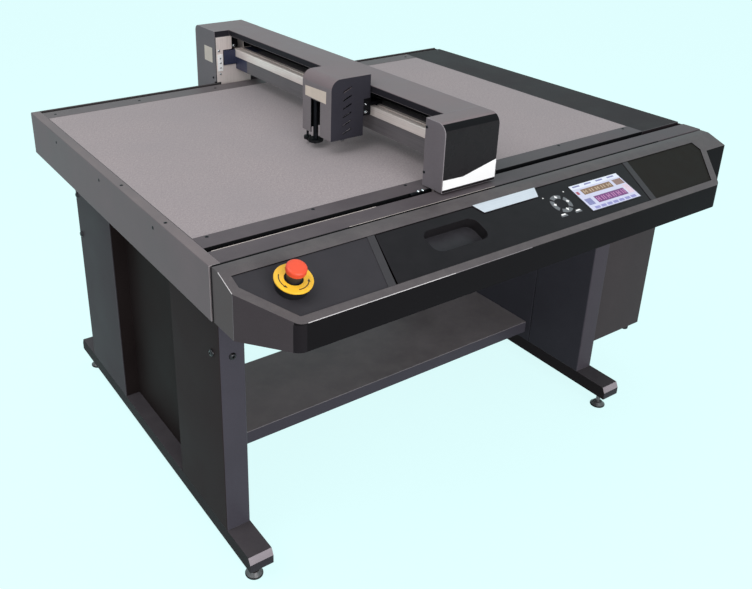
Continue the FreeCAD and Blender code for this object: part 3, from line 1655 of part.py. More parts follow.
def hood():
    """A folded hood, open below and towards the beam, with slanted vents and a tool notch."""
    outline = [
        (d.hood_left, d.hood_bottom),
        (d.hood_low_right, d.hood_bottom),
        (d.hood_low_right, d.hood_step),
        (d.hood_right, d.hood_step),
        (d.hood_right, d.hood_top),
        (d.hood_left, d.hood_top),
    ]
    wall = d.sheet
    shell = profile("hood_outer", "y", outline, (d.hood_front, d.hood_back))
    rounded(shell, "y", [(d.hood_left, d.hood_top)], d.hood_round)
    top = d.hood_top - wall
    left = d.hood_left + wall
    inner = [
        (left, d.hood_bottom - wall),
        (d.hood_right + wall, d.hood_bottom - wall),
        (d.hood_right + wall, top),
        (left, top),
    ]
    hollow = profile("hood_inner", "y", inner, (d.hood_front + wall, d.hood_back - wall))
    rounded(hollow, "y", [(left, top)], d.hood_round - wall)
    notch = box("hood_notch", (d.hood_left - wall, left + wall), (d.notch_front, d.notch_back),
                (d.hood_bottom - wall, d.notch_top))
    vents = []
    vent_y = (d.hood_front - wall, d.hood_front + wall + d.free_gap)
    right = d.vent_left + d.vent_run
    for number in range(int(value_of(d.vent_count))):
        low = d.vent_first + number * d.vent_pitch
        corners = [
            (d.vent_left, low),
            (right, low + d.vent_rise),
            (right, low + d.vent_rise + d.vent_width),
            (d.vent_left, low + d.vent_width),
        ]
        vents.append(profile(f"vent_{number}", "y", corners, vent_y))
    keep("head_hood", cut("hood_shell", shell, hollow, notch, *vents))


def crease_tool():
    x, y, radius = tools["crease"]
    centre = (x, y)
    shank = rod("crease_shank_bar", "z", radius, centre, (d.crease_ring_top, d.tool_top))
    ring = rod("crease_ring_disc", "z", d.crease_ring, centre, (d.crease_ring_bottom, d.crease_ring_top))
    inner = d.wheel_width * HALF + d.cheek_gap
    outer = inner + d.cheek_thickness
    x_span = (x - d.cheek_half, x + d.cheek_half)
    z_span = (d.cheek_bottom, d.crease_ring_bottom)
    cheeks = [
        box("front_cheek", x_span, (y - outer, y - inner), z_span),
        box("back_cheek", x_span, (y + inner, y + outer), z_span),
    ]
    axle_level = d.tool_lift + d.wheel_radius
    axle = rod("wheel_axle", "y", d.wheel_pin, (x, axle_level), (y - outer, y + outer))
    reach = d.wheel_radius + d.free_gap
    slot_z = (d.crease_ring_bottom, d.wheel_slot_top)
    slot = box("wheel_slot", (x - reach, x + reach), (y - inner, y + inner), slot_z)
    keep("crease_holder", cut("crease_slotted", fused("crease_tool", shank, ring, *cheeks, axle), slot))
    half = d.wheel_width * HALF
    disc = rod("wheel_disc", "y", d.wheel_radius, (x, axle_level), (y - half, y + half))
    bore = rod("wheel_bore", "y", d.wheel_pin + d.slide_gap, (x, axle_level), (y - half, y + half))
    keep("crease_wheel", cut("wheel_bored", disc, bore))


def pen_tool():
    x, y, radius = tools["pen"]
    centre = (x, y)
    shank = rod("pen_shank_bar", "z", radius, centre, (d.pen_ring_top, d.tool_top))
    ring = rod("pen_ring_disc", "z", d.pen_ring, centre, (d.pen_ring_bottom, d.pen_ring_top))
    nose = cone("pen_nose_cone", "z", (d.pen_point, d.pen_nose), centre, (d.tool_lift, d.pen_ring_bottom))
    keep("pen_holder", fused("pen_tool", shank, ring, nose))


def knife_tool():
    x, y, radius = tools["knife"]
    centre = (x, y)
    bore = d.blade_shank + d.slide_gap
    shank = rod("knife_shank_bar", "z", radius, centre, (d.knife_nose_top, d.tool_top))
    nose_z = (d.knife_nose_bottom, d.knife_nose_top)
    nose = cone("knife_nose_cone", "z", (d.knife_nose, radius), centre, nose_z)
    seat_top = d.blade_shank_top + d.slide_gap
    seat = rod("blade_seat", "z", bore, centre, (d.knife_nose_bottom - d.sheet, seat_top))
    keep("knife_holder", cut("knife_tool", fused("knife_body", shank, nose), seat))
    stem = rod("blade_stem", "z", d.blade_shank, centre, (d.knife_nose_bottom, d.blade_shank_top))
    half = d.blade_width * HALF
    thin = d.blade_thickness * HALF
    corners = [(x - half, d.knife_nose_bottom), (x - half, d.tool_lift), (x + half, d.knife_nose_bottom)]
    edge = profile("blade_edge", "y", corners, (y - thin, y + thin))
    keep("knife", fused("knife_blade", stem, edge))


carriage()
hood()
crease_tool()
pen_tool()
knife_tool()

# Suction unit beside the stand


def suction_unit():
    x = (d.table_width - post_out, d.table_width + d.cabinet_overhang)
    y = (d.cabinet_front, d.cabinet_front + d.cabinet_depth)
    z = (-d.cabinet_bottom, -d.cabinet_top)
    skin = d.thin_sheet
    corners = [(x[0], y[0]), (x[1], y[0]), (x[1], y[1]), (x[0], y[1])]
    outer = profile("cabinet_outer", "z", corners, z)
    rounded(outer, "z", [(x[0], y[0]), (x[1], y[0])], d.bend)
    inside = [(low + skin, high - skin) for low, high in (x, y, z)]
    inner = box("cabinet_inner", *inside)
    duct = (d.duct_across, d.duct_back)
    hole = rod("cabinet_hole", "z", d.duct_radius + d.free_gap, duct, (z[1] - d.bend, z[1] + d.sheet))
    keep("pump_cabinet", cut("cabinet_shell", outer, inner, hole))
    level = z[0] + skin + d.pump_foot + d.pump_radius
    span = (d.pump_front, d.pump_front + d.pump_length)
    barrel = rod("pump_barrel", "y", d.pump_radius, (d.pump_across, level), span)
    inside = (span[0] + d.pump_wall, span[1] - d.pump_wall)
    chamber = rod("pump_chamber", "y", d.pump_radius - d.pump_wall, (d.pump_across, level), inside)
    base_x = (d.pump_across - d.pump_radius, d.pump_across + d.pump_radius)
    base = box("pump_base", base_x, span, (z[0] + skin, level - d.pump_radius * HALF))
    top = -d.duct_drop
    riser = rod("duct_riser", "z", d.duct_radius, duct, (level, top + d.duct_radius))
    barrel_side = d.pump_across - d.pump_radius + d.pump_wall * HALF
    link = rod("duct_link", "x", d.duct_radius, (d.duct_back, level), (d.duct_across, barrel_side))
    box_side = d.table_width - d.box_inset_right
    outlet_radius = d.duct_radius - d.free_gap
    outlet = rod("duct_outlet", "x", outlet_radius, (d.duct_back, top), (box_side, d.duct_across))
    solid = fused("pump_and_duct", barrel, base, riser, link, outlet)
    keep("vacuum_pump", cut("hollow_pump", solid, chamber))


suction_unit()

doc.recompute()

for thing in doc.Objects:
    if "Invalid" in thing.State or "Error" in thing.State:
        raise RuntimeError(f"{thing.Name} failed: {thing.State}")
for thing in parts:
    if thing.Shape.isNull() or not thing.Shape.isValid() or not thing.Shape.Solids:
        raise RuntimeError(f"{thing.Label} has no valid solid")

os.makedirs("parts", exist_ok=True)
for thing in parts:
    thing.Shape.exportStep(f"parts/{thing.Label}.step")
    corner = thing.Shape.BoundBox
    print(f"{thing.Label}: {len(thing.Shape.Solids)} solids, {thing.Shape.Volume:.0f} mm3, "
          f"x {corner.XMin:.1f} {corner.XMax:.1f}, y {corner.YMin:.1f} {corner.YMax:.1f}, "
          f"z {corner.ZMin:.1f} {corner.ZMax:.1f}")
print(len(parts), "pieces")
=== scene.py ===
import bpy
import bmesh
import json
import math
from mathutils import Matrix, Vector


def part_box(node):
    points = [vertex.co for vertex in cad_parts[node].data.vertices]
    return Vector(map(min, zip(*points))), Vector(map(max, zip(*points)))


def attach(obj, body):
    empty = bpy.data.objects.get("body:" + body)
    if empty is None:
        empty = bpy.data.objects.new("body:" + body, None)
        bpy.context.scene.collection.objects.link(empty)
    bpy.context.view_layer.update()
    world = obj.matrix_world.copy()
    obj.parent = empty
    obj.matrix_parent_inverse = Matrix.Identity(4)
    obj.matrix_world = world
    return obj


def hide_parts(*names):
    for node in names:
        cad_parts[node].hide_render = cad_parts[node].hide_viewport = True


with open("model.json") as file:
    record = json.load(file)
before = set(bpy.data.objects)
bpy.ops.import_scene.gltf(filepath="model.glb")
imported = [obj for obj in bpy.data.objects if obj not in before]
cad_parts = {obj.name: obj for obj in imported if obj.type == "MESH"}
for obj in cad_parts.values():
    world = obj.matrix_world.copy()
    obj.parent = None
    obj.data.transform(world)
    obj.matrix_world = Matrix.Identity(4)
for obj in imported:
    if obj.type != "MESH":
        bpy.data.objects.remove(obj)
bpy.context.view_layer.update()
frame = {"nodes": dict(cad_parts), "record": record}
nodes = frame["nodes"]
bodyNodes = frame["record"]["behaviour"]["bodies"]
bodyOfNode = {node: body for body, members in bodyNodes.items() for node in members}
print("frame loaded:", len(nodes), "nodes")

# Places: everything below is measured in metres from the table's left front top corner
railLow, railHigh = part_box("left_side_rail")
tableCorner = Vector((railLow.x, railLow.y, railHigh.z))


def at(x, y, z):
    return tableCorner + Vector((x, y, z))


def shifted(*place):
    return Matrix.Translation(place[0] if len(place) == 1 else place)


def turned(angle, axis):
    return Matrix.Rotation(angle, 4, axis)


table = {"width": 1.400, "depth": 1.036}
onTable = shifted(tableCorner)

# the console's slope, from its upper fold: x along the console, y up the slope, z off its face
console = {"fold": 0.027, "run": 0.147, "drop": 0.056}
panelDepth = 0.002
panelReach = math.hypot(console["run"], console["drop"])
onPanel = shifted(at(0, -console["fold"], 0)) @ turned(math.atan2(console["drop"], console["run"]), "X")

leftward, rightward, frontward, upward = (-1, 0, 0), (1, 0, 0), (0, -1, 0), (0, 0, 1)
edge = {"sheet": 0.0007, "fold": 0.0012, "case": 0.0010, "casting": 0.0015, "fine": 0.0004, "key": 0.0001}

# Helpers for colours, pieces and shapes

def tone(red, green, blue):
    # a colour as it is seen on a screen, turned into the linear one that sockets take
    def linear(value):
        value /= 255
        return value / 12.92 if value <= 0.04045 else ((value + 0.055) / 1.055) ** 2.4
    return (linear(red), linear(green), linear(blue), 1)


def addObject(name, data):
    made = bpy.data.objects.new(name, data)
    bpy.context.scene.collection.objects.link(made)
    return made


def meshObject(name, bm, *materials):
    mesh = bpy.data.meshes.new(name)
    bm.to_mesh(mesh)
    bm.free()
    for material in materials:
        mesh.materials.append(material)
    return addObject(name, mesh)


def addPiece(name, bm, like, *materials):
    # a new piece that moves with a CAD node
    piece = meshObject(name, bm, *materials)
    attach(piece, bodyOfNode[like])
    return piece


def smoothByAngle(piece, degrees=35):
    mesh = piece.data
    mesh.polygons.foreach_set("use_smooth", [True] * len(mesh.polygons))
    bm = bmesh.new()
    bm.from_mesh(mesh)
    for edge in bm.edges:
        edge.smooth = len(edge.link_faces) == 2 and edge.calc_face_angle(0) < math.radians(degrees)
    bm.to_mesh(mesh)
    bm.free()


def softEdges(piece, width, segments=2, edgeHighlight=-1):
    # rounds the sharp edges of a piece: a real edge always catches some light; the rounding can also take a
    # lighter material of its own, a painted highlight
    modifier = piece.modifiers.new("soft edges", "BEVEL")
    modifier.material = edgeHighlight
    modifier.width = width
    modifier.segments = segments
    modifier.limit_method = "ANGLE"
    modifier.angle_limit = math.radians(40)
    modifier.harden_normals = True
    modifier.use_clamp_overlap = True


def mergedCopy(node):
    # the node's surface with its doubled points merged and its flat faces joined
    bm = bmesh.new()
    bm.from_mesh(nodes[node].data)
    bmesh.ops.remove_doubles(bm, verts=bm.verts, dist=0.00002)
    bmesh.ops.dissolve_limit(bm, angle_limit=math.radians(0.5), verts=bm.verts, edges=bm.edges,
                             use_dissolve_boundaries=False, delimit={"NORMAL"})
    return bm


def refine(node, name, width, materials, choose=None, segments=2, cuts=(), edgeHighlight=None):
    # stands for a CAD node: the same shape with rounded edges and a material for each face;
    # its rounded edges take the lighter edge material, if there is one: a painted highlight along them
    bm = mergedCopy(node)
    for point, normal in cuts:
        whole = bm.verts[:] + bm.edges[:] + bm.faces[:]
        bmesh.ops.bisect_plane(bm, geom=whole, dist=0.00001, plane_co=point, plane_no=normal)
    if edgeHighlight:
        materials = materials + [edgeHighlight]
    for face in bm.faces if choose else ():
        face.material_index = choose(face.normal, face.calc_center_median() - tableCorner)
    piece = addPiece(name, bm, node, *materials)
    smoothByAngle(piece)
    softEdges(piece, edge[width], segments, edgeHighlight=len(materials) - 1 if edgeHighlight else -1)
    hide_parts(node)


def looseParts(node):
    # low and high corners of each separate solid of a node, measured from the table's corner
    bm = mergedCopy(node)
    left = set(bm.verts)
    boxes = []
    while left:
        grow = [left.pop()]
        part = list(grow)
        while grow:
            for edge in grow.pop().link_edges:
                for vert in edge.verts:
                    if vert in left:
                        left.discard(vert)
                        grow.append(vert)
                        part.append(vert)
        spots = [vert.co - tableCorner for vert in part]
        boxes.append([Vector([pick(spot[axis] for spot in spots) for axis in range(3)]) for pick in (min, max)])
    bm.free()
    return boxes


def facing(point, direction):
    # a place on a face: local z points out of it, and local y stays as upright as it can
    direction = Vector(direction)
    upright = Vector(upward) if abs(direction.z) < 0.9 else Vector((0, 1, 0))
    across = upright.cross(direction).normalized()
    turn = Matrix((across, direction.cross(across), direction)).transposed().to_4x4()
    return shifted(at(*point)) @ turn


def addBlock(bm, low, high, bevel, segments, place):
    low, high = Vector(low), Vector(high)
    size = Matrix.Diagonal((*(high - low), 1))
    verts = bmesh.ops.create_cube(bm, size=1, matrix=shifted((low + high) / 2) @ size)["verts"]
    edges = list({edge for vert in verts for edge in vert.link_edges})
    made = bmesh.ops.bevel(bm, geom=edges, offset=bevel, segments=segments, profile=0.5, affect="EDGES",
                           material=-1)
    verts = list({vert for face in made["faces"] for vert in face.verts} | {v for v in verts if v.is_valid})
    bmesh.ops.transform(bm, matrix=place, verts=verts)


def addLathe(bm, outline, place, steps=48, material=0):
    # spins an outline of (radius, height) points about the local z axis
    before = set(bm.verts)
    verts = [bm.verts.new((radius, 0, height)) for radius, height in outline]
    edges = [bm.edges.new(pair) for pair in zip(verts, verts[1:])]
    bmesh.ops.spin(bm, geom=verts + edges, cent=(0, 0, 0), axis=upward, angle=math.tau, steps=steps,
                   use_merge=True, use_duplicate=False)
    made = [vert for vert in bm.verts if vert not in before]
    bmesh.ops.remove_doubles(bm, verts=made, dist=0.000001)
    made = [vert for vert in made if vert.is_valid]
    faces = list({face for vert in made for face in vert.link_faces})
    bmesh.ops.recalc_face_normals(bm, faces=faces)
    for face in faces:
        face.material_index = material
    bmesh.ops.transform(bm, matrix=place, verts=made)


def addPlate(bm, corners, thickness, place, material=0):
    # a flat plate over an outline drawn in its own plane
    verts = [bm.verts.new((x, y, 0)) for x, y in corners]
    face = bm.faces.new(verts)
    face.normal_update()
    if face.normal.z < 0:
        face.normal_flip()
    made = bmesh.ops.extrude_face_region(bm, geom=[face])
    top = [item for item in made["geom"] if isinstance(item, bmesh.types.BMVert)]
    bmesh.ops.translate(bm, vec=(0, 0, thickness), verts=top)
    verts = verts + top
    faces = list({linked for vert in verts for linked in vert.link_faces})
    bmesh.ops.recalc_face_normals(bm, faces=faces)
    for face in faces:
        face.material_index = material
    bmesh.ops.transform(bm, matrix=place, verts=verts)


def addScrew(bm, place, radius, height, socket):
    # button head with its hexagon socket, which takes the second, dark finish: painted shade in the socket
    dome = [(socket * 0.9, height * 0.95), (socket * 1.05, height), (radius * 0.62, height * 0.93),
            (radius * 0.85, height * 0.66), (radius * 0.97, height * 0.25), (radius, 0)]
    addLathe(bm, dome, place, 32)
    addLathe(bm, [(0, height * 0.35), (socket, height * 0.35), (socket, height * 0.98)], place, 6, 1)


def addDisc(bm, place, radius, height, steps):
    soft = min(height * 0.4, radius * 0.3)
    addLathe(bm, [(0, height), (radius - soft, height), (radius, height - soft), (radius, 0)], place, steps)


def addKnurl(bm, place, radius, low, high, teeth):
    # ring with straight knurling on its rim and chamfered ends
    chamfer, groove = 0.0008, 0.95
    rings = []
    for height, size in ((low, groove), (low + chamfer, 1), (high - chamfer, 1), (high, groove)):
        ring = bmesh.ops.create_circle(bm, segments=teeth * 2, radius=radius * size)["verts"]
        for index, vert in enumerate(ring):
            vert.co.z = height
            if index % 2:
                vert.co.xy *= groove
        rings.append(ring)
    for lower, upper in zip(rings, rings[1:]):
        loops = [edge for ring in (lower, upper) for edge in {e for vert in ring for e in vert.link_edges}
                 if all(vert in ring for vert in edge.verts)]
        bmesh.ops.bridge_loops(bm, edges=loops)
    for ring in (rings[0], rings[-1]):
        bmesh.ops.contextual_create(bm, geom=ring)
    verts = [vert for ring in rings for vert in ring]
    bmesh.ops.recalc_face_normals(bm, faces=list({face for vert in verts for face in vert.link_faces}))
    bmesh.ops.transform(bm, matrix=place, verts=verts)


def polar(reach, degrees):
    angle = math.radians(degrees)
    return (math.cos(angle) * reach, math.sin(angle) * reach)


def arcOutline(radius, width, first, last, steps=10):
    # corners of a flat arc between two angles in degrees
    turns = [first + (last - first) * step / steps for step in range(steps + 1)]
    outer = [polar(radius + width / 2, turn) for turn in turns]
    return outer + [polar(radius - width / 2, turn) for turn in turns[::-1]]


def rectangle(low, high):
    return [low, (high[0], low[1]), high, (low[0], high[1])]


def blockPiece(name, like, finish, corners, place, bevel=edge["fine"], segments=2):
    bm = bmesh.new()
    addBlock(bm, *corners, bevel, segments, place)
    return addPiece(name, bm, like, finish)


def platePiece(name, like, finish, outline, thickness, place):
    bm = bmesh.new()
    addPlate(bm, outline, thickness, place)
    return addPiece(name, bm, like, finish)


def screwPiece(name, like, finish, screws):
    # each screw: its place, the way it faces, radius and height of its head, radius of its socket
    bm = bmesh.new()
    for point, direction, *sizes in screws:
        addScrew(bm, facing(point, direction), *sizes)
    return addPiece(name, bm, like, finish, recessShadePaint)


# Shader groups that several finishes share

def feed(tree, sockets, values):
    # each socket takes a value of its own, or what another node gives
    for key, value in values.items():
        if isinstance(value, bpy.types.NodeSocket):
            tree.links.new(value, sockets[key])
        else:
            sockets[key].default_value = value


def addNode(tree, kind, inputs=None, **settings):
    node = tree.nodes.new("ShaderNode" + kind)
    for key, value in settings.items():
        setattr(node, key, value)
    feed(tree, node.inputs, inputs or {})
    return node


def makeGroup(name, **inputs):
    # a group that gives a colour, a roughness and a height; every finish sets all its inputs
    group = bpy.data.node_groups.new(name, "ShaderNodeTree")
    outputs = {"Color": ["Colour"], "Float": ["Roughness", "Height"]}
    for side, sockets in (("INPUT", inputs), ("OUTPUT", outputs)):
        for kind, labels in sockets.items():
            for label in labels:
                group.interface.new_socket(label, in_out=side, socket_type=f"NodeSocket{kind}")
    entry = group.nodes.new("NodeGroupInput").outputs
    leave = group.nodes.new("NodeGroupOutput").inputs
    return group, entry, leave, placeOf(group)


def placeOf(tree):
    return addNode(tree, "TexCoord").outputs["Object"]


def noiseOf(tree, vector, scale, detail=3, roughness=0.55):
    inputs = {"Vector": vector, "Scale": scale, "Detail": detail, "Roughness": roughness}
    return addNode(tree, "TexNoise", inputs).outputs["Fac"]


def stretched(tree, vector, scale, turn=0):
    inputs = {"Vector": vector, "Scale": scale, "Rotation": (0, 0, turn)}
    return addNode(tree, "Mapping", inputs).outputs["Vector"]


def rangeOf(tree, value, low, high, newLow=0, newHigh=1):
    inputs = {"Value": value, "From Min": low, "From Max": high, "To Min": newLow, "To Max": newHigh}
    return addNode(tree, "MapRange", inputs).outputs["Result"]


def mathOf(tree, operation, first, *others):
    # works through the values from left to right
    for value in others:
        first = addNode(tree, "Math", {0: first, 1: value}, operation=operation).outputs["Value"]
    return first


def mixOf(tree, factor, first, second):
    return addNode(tree, "Mix", {0: factor, 6: first, 7: second}, data_type="RGBA").outputs[2]


def shadeOf(tree, tint, noise, share, *others):
    # the tint made darker and lighter by a noise, and by the other values
    swing = mathOf(tree, "MULTIPLY", rangeOf(tree, noise, 0.3, 0.7, -1, 1), share)
    shade = mathOf(tree, "MULTIPLY", mathOf(tree, "ADD", swing, 1), *others)
    scaled = addNode(tree, "VectorMath", {0: tint, "Scale": shade}, operation="SCALE")
    return scaled.outputs["Vector"]


def makePowderGroup():
    # powder coat: orange peel, faint clouds, pale scuffs and settled dust on upward faces
    group, entry, leave, place = makeGroup("powder coat", Color=["Tint", "Scuff Tint"],
                                           Float=["Cloud", "Scuff", "Dust", "Gloss"])
    peel = noiseOf(group, place, 700, 2)
    cloud = noiseOf(group, place, 6, 4)
    scratch = noiseOf(group, stretched(group, place, (40, 22, 160)), 1.6, 5, 0.7)
    patch = noiseOf(group, place, 9, 2)
    scuff = mathOf(group, "MULTIPLY", rangeOf(group, scratch, 0.66, 0.74), rangeOf(group, patch, 0.52, 0.68),
                   entry["Scuff"])
    tinted = shadeOf(group, entry["Tint"], cloud, entry["Cloud"], rangeOf(group, peel, 0.25, 0.75, 0.90, 1.10))
    normal = addNode(group, "NewGeometry").outputs["Normal"]
    lying = rangeOf(group, addNode(group, "SeparateXYZ", {0: normal}).outputs["Z"], 0.6, 1)
    grime = rangeOf(group, noiseOf(group, place, 26, 5, 0.65), 0.42, 0.70)
    dust = mathOf(group, "MULTIPLY", grime, lying, entry["Dust"])
    colour = mixOf(group, scuff, tinted, entry["Scuff Tint"])
    colour = mixOf(group, dust, colour, (0.42, 0.40, 0.37, 1))
    rough = mathOf(group, "ADD", entry["Gloss"], rangeOf(group, cloud, 0.3, 0.7, -0.05, 0.05),
                   mathOf(group, "MULTIPLY", scuff, 0.15), mathOf(group, "MULTIPLY", dust, 1.2))
    feed(group, leave, {"Colour": colour, "Roughness": rough, "Height": peel})
    return group


def makeMetalGroup():
    # drawn or turned metal: long fine lines along one axis, with slow changes of tone
    group, entry, leave, place = makeGroup("drawn metal", Color=["Tint", "Dull Tint"], Vector=["Stretch"],
                                           Float=["Gloss"])
    lines = noiseOf(group, stretched(group, place, entry["Stretch"]), 1, 4, 0.7)
    cloud = rangeOf(group, noiseOf(group, place, 14, 4), 0.3, 0.7, 0.25, 0.9)
    dull = mathOf(group, "MULTIPLY", rangeOf(group, lines, 0.3, 0.75), cloud)
    rough = mathOf(group, "ADD", entry["Gloss"], rangeOf(group, lines, 0.3, 0.7, -0.06, 0.10))
    colour = mixOf(group, dull, entry["Tint"], entry["Dull Tint"])
    feed(group, leave, {"Colour": colour, "Roughness": rough, "Height": lines})
    return group


def makePlasticGroup():
    # moulded plastic: fine sparkle of the mould's grain, finger marks that change the gloss
    group, entry, leave, place = makeGroup("moulded plastic", Color=["Tint"],
                                           Float=["Grain Scale", "Shade", "Gloss"])
    grain = noiseOf(group, place, entry["Grain Scale"], 2)
    smear = noiseOf(group, place, 30, 5, 0.6)
    rough = mathOf(group, "ADD", entry["Gloss"], rangeOf(group, smear, 0.35, 0.7, -0.05, 0.12))
    colour = shadeOf(group, entry["Tint"], smear, entry["Shade"])
    feed(group, leave, {"Colour": colour, "Roughness": rough, "Height": grain})
    return group


powderGroup = makePowderGroup()
metalGroup = makeMetalGroup()
plasticGroup = makePlasticGroup()


def newMaterial(name):
    material = bpy.data.materials.new(name)
    material.use_nodes = True
    return material, material.node_tree, material.node_tree.nodes["Principled BSDF"].inputs


def addRelief(tree, shader, height, strength, distance):
    relief = addNode(tree, "Bump", {"Height": height, "Strength": strength, "Distance": distance})
    feed(tree, shader, {"Normal": relief.outputs["Normal"]})


def finishFrom(group, name, bump, distance, shaderValues, groupValues):
    # a material that places one of the groups with its own values
    material, tree, shader = newMaterial(name)
    effect = addNode(tree, "Group", groupValues, node_tree=group).outputs
    feed(tree, shader, shaderValues | {"Base Color": effect["Colour"], "Roughness": effect["Roughness"]})
    addRelief(tree, shader, effect["Height"], bump, distance)
    return material


def powderCoat(name, tint, scuffTint, specular, gloss, cloud=0.12, dust=0.08, scuff=0.35):
    return finishFrom(powderGroup, name + " paint", 0.25, 0.0002, {"Specular IOR Level": specular},
                      {"Tint": tone(*tint), "Scuff Tint": tone(*scuffTint), "Gloss": gloss, "Cloud": cloud,
                       "Dust": dust, "Scuff": scuff})


def metal(name, tint, dull, stretch, gloss, metallic=1):
    return finishFrom(metalGroup, name, 0.2, 0.0001, {"Metallic": metallic},
                      {"Tint": tone(*tint), "Dull Tint": tone(*dull), "Stretch": stretch, "Gloss": gloss})


def plastic(name, tint, gloss, shade=0.08, grain=1500, bump=0.12, specular=0.35):
    return finishFrom(plasticGroup, name, bump, 0.0001, {"Specular IOR Level": specular},
                      {"Tint": tone(*tint), "Grain Scale": grain, "Shade": shade, "Gloss": gloss})


def beltRubber(name, axis, pitch):
    # moulded teeth as bands across the belt
    material = plastic(name, (26, 26, 28), 0.7, grain=900, specular=0.1)
    tree = material.node_tree
    wave = addNode(tree, "TexWave", {"Vector": placeOf(tree), "Scale": 0.314 / pitch},
                   wave_type="BANDS", bands_direction=axis)
    teeth = rangeOf(tree, wave.outputs["Fac"], 0.35, 0.65)
    feed(tree, tree.nodes["Bump"].inputs, {"Height": teeth, "Distance": 0.0008, "Strength": 0.8})
    return material


def screenGlass(name, tint, strength):
    # a lit screen under plain glass: a tone of its own with the faint grid of its dots
    material = plastic(name, tint, 0.2, shade=0.03, bump=0)
    tree = material.node_tree
    dots = rangeOf(tree, noiseOf(tree, placeOf(tree), 900, 2), 0.3, 0.7)
    glow = mixOf(tree, dots, tone(*tint), tone(*(value * 0.86 for value in tint)))
    feed(tree, tree.nodes["Principled BSDF"].inputs, {"Emission Color": glow, "Emission Strength": strength})
    return material


def feltMat(name):
    # fibrous grey mat: short pale and dark fibres in two directions over slow stains
    material, tree, shader = newMaterial(name)
    place = placeOf(tree)
    fibres = [noiseOf(tree, stretched(tree, place, scale, turn), 1, 3, 0.6)
              for scale, turn in (((150, 900, 150), 0.4), ((900, 150, 150), -0.3))]
    fuzz = mathOf(tree, "MULTIPLY", *fibres)
    stain = rangeOf(tree, noiseOf(tree, place, 5, 5, 0.6), 0.35, 0.7, 0, 0.45)
    colour = mixOf(tree, rangeOf(tree, fuzz, 0.16, 0.36), tone(134, 123, 126), tone(170, 158, 160))
    colour = mixOf(tree, stain, colour, tone(140, 132, 136))
    feed(tree, shader, {"Base Color": colour, "Roughness": 0.92, "Sheen Weight": 0.25, "Sheen Roughness": 0.6})
    addRelief(tree, shader, fuzz, 0.5, 0.0004)
    return material


# Paints: tone, tone where scuffed, sheen, roughness, and where they differ clouds, dust and scuffs
railPaint = powderCoat("rail", (110, 102, 105), (170, 168, 168), 0.12, 0.50)
# a lighter copy of the rail paint for its top faces: painted light
railTopLitPaint = powderCoat("rail top lit", (116, 107, 109), (165, 163, 163), 0.14, 0.50)
# a lighter tone for the rail's rounded edges, with heavy scuffs: painted highlight and wear
railEdge = powderCoat("rail edge", (150, 144, 145), (190, 188, 186), 0.3, 0.45, scuff=0.7)
coverPaint = powderCoat("cover", (121, 110, 113), (165, 162, 164), 0.14, 0.48, 0.06)
# a lighter tone for the covers' rounded edges and for thin folds: painted highlight and wear
coverEdge = powderCoat("cover edge", (132, 126, 130), (168, 165, 166), 0.3, 0.42, scuff=0.6)
# copies of the cover paint for the caps' and the hood's left faces, toned for the light there: painted light
# and shade
capFlank = powderCoat("cap flank", (110, 105, 110), (146, 144, 146), 0.12, 0.45, 0.10)
hoodFlank = powderCoat("hood flank", (119, 114, 117), (156, 154, 156), 0.12, 0.45, 0.08)
darkCoverPaint = powderCoat("drive cover", (49, 43, 46), (100, 97, 98), 0.04, 0.5, 0.12, 0.02)
# a lighter tone for the rounded edges of the dark parts: painted highlight and wear
darkEdge = powderCoat("dark edge", (96, 95, 98), (150, 148, 148), 0.1, 0.42, scuff=0.7)
stripPaint = powderCoat("bed strip", (89, 82, 86), (150, 148, 148), 0.08, 0.45, 0.12, 0.04)
# a pale tone for the strips' folded edges: painted highlight
stripEdge = powderCoat("strip edge", (206, 196, 190), (232, 226, 218), 0.3, 0.38, scuff=0.8)
rearPaint = powderCoat("rear strip", (104, 98, 100), (140, 138, 138), 0.08, 0.48, 0.12, 0.04)
sillPaint = powderCoat("rear sill", (84, 80, 82), (130, 128, 128), 0.06, 0.48, 0.12, 0.04)
consolePaint = powderCoat("console", (86, 81, 83), (140, 138, 138), 0.12, 0.42, 0.05)
seamSeal = plastic("seam seal", (46, 44, 46), 0.6, specular=0.05)
# a near white tone for the console's folds: painted highlight
consoleEdge = powderCoat("console fold", (206, 202, 203), (236, 232, 230), 0.3, 0.34, scuff=0.7)
# darker and lighter copies of the console paint for its front, rounded corner, chamfer and left end: painted
# shade and light
skirtPaint = powderCoat("console skirt", (22, 20, 22), (56, 56, 58), 0.03, 0.5, 0.05, 0)
cornerPaint = powderCoat("console corner", (31, 28, 31), (56, 56, 58), 0.04, 0.45, 0.05, 0)
skirtSidePaint = powderCoat("console chamfer", (64, 60, 63), (104, 104, 104), 0.04, 0.5, 0.08, 0)
consoleEndPaint = powderCoat("console end", (92, 87, 88), (120, 120, 120), 0.05, 0.5, 0.08, 0)
# the posts' fronts, the posts' sides and the webs take lighter and darker tones of one paint, by side and by
# post: painted light and shade
postPaint = powderCoat("post face", (68, 66, 74), (120, 120, 128), 0.08, 0.42, 0.06)
sidePaint = powderCoat("stand side", (51, 44, 45), (95, 95, 98), 0.02, 0.5, 0.08)
rightSidePaint = powderCoat("right post side", (62, 62, 69), (95, 95, 98), 0.03, 0.5, 0.08)
rightFacePaint = powderCoat("right post face", (73, 69, 76), (110, 110, 112), 0.05, 0.45, 0.06)
rearSidePaint = powderCoat("rear post side", (66, 60, 65), (100, 98, 102), 0.04, 0.5, 0.12)
webPaint = powderCoat("web", (40, 34, 34), (80, 80, 82), 0.02, 0.5, 0.12)
framePaint = powderCoat("frame", (34, 34, 36), (80, 80, 82), 0.06, 0.5, 0.12, 0.02)
# a light tone for the shelf's top, beside the darker front tone on its flange: painted light
shelfPaint = powderCoat("shelf", (112, 106, 108), (138, 136, 138), 0.10, 0.42, 0.16)
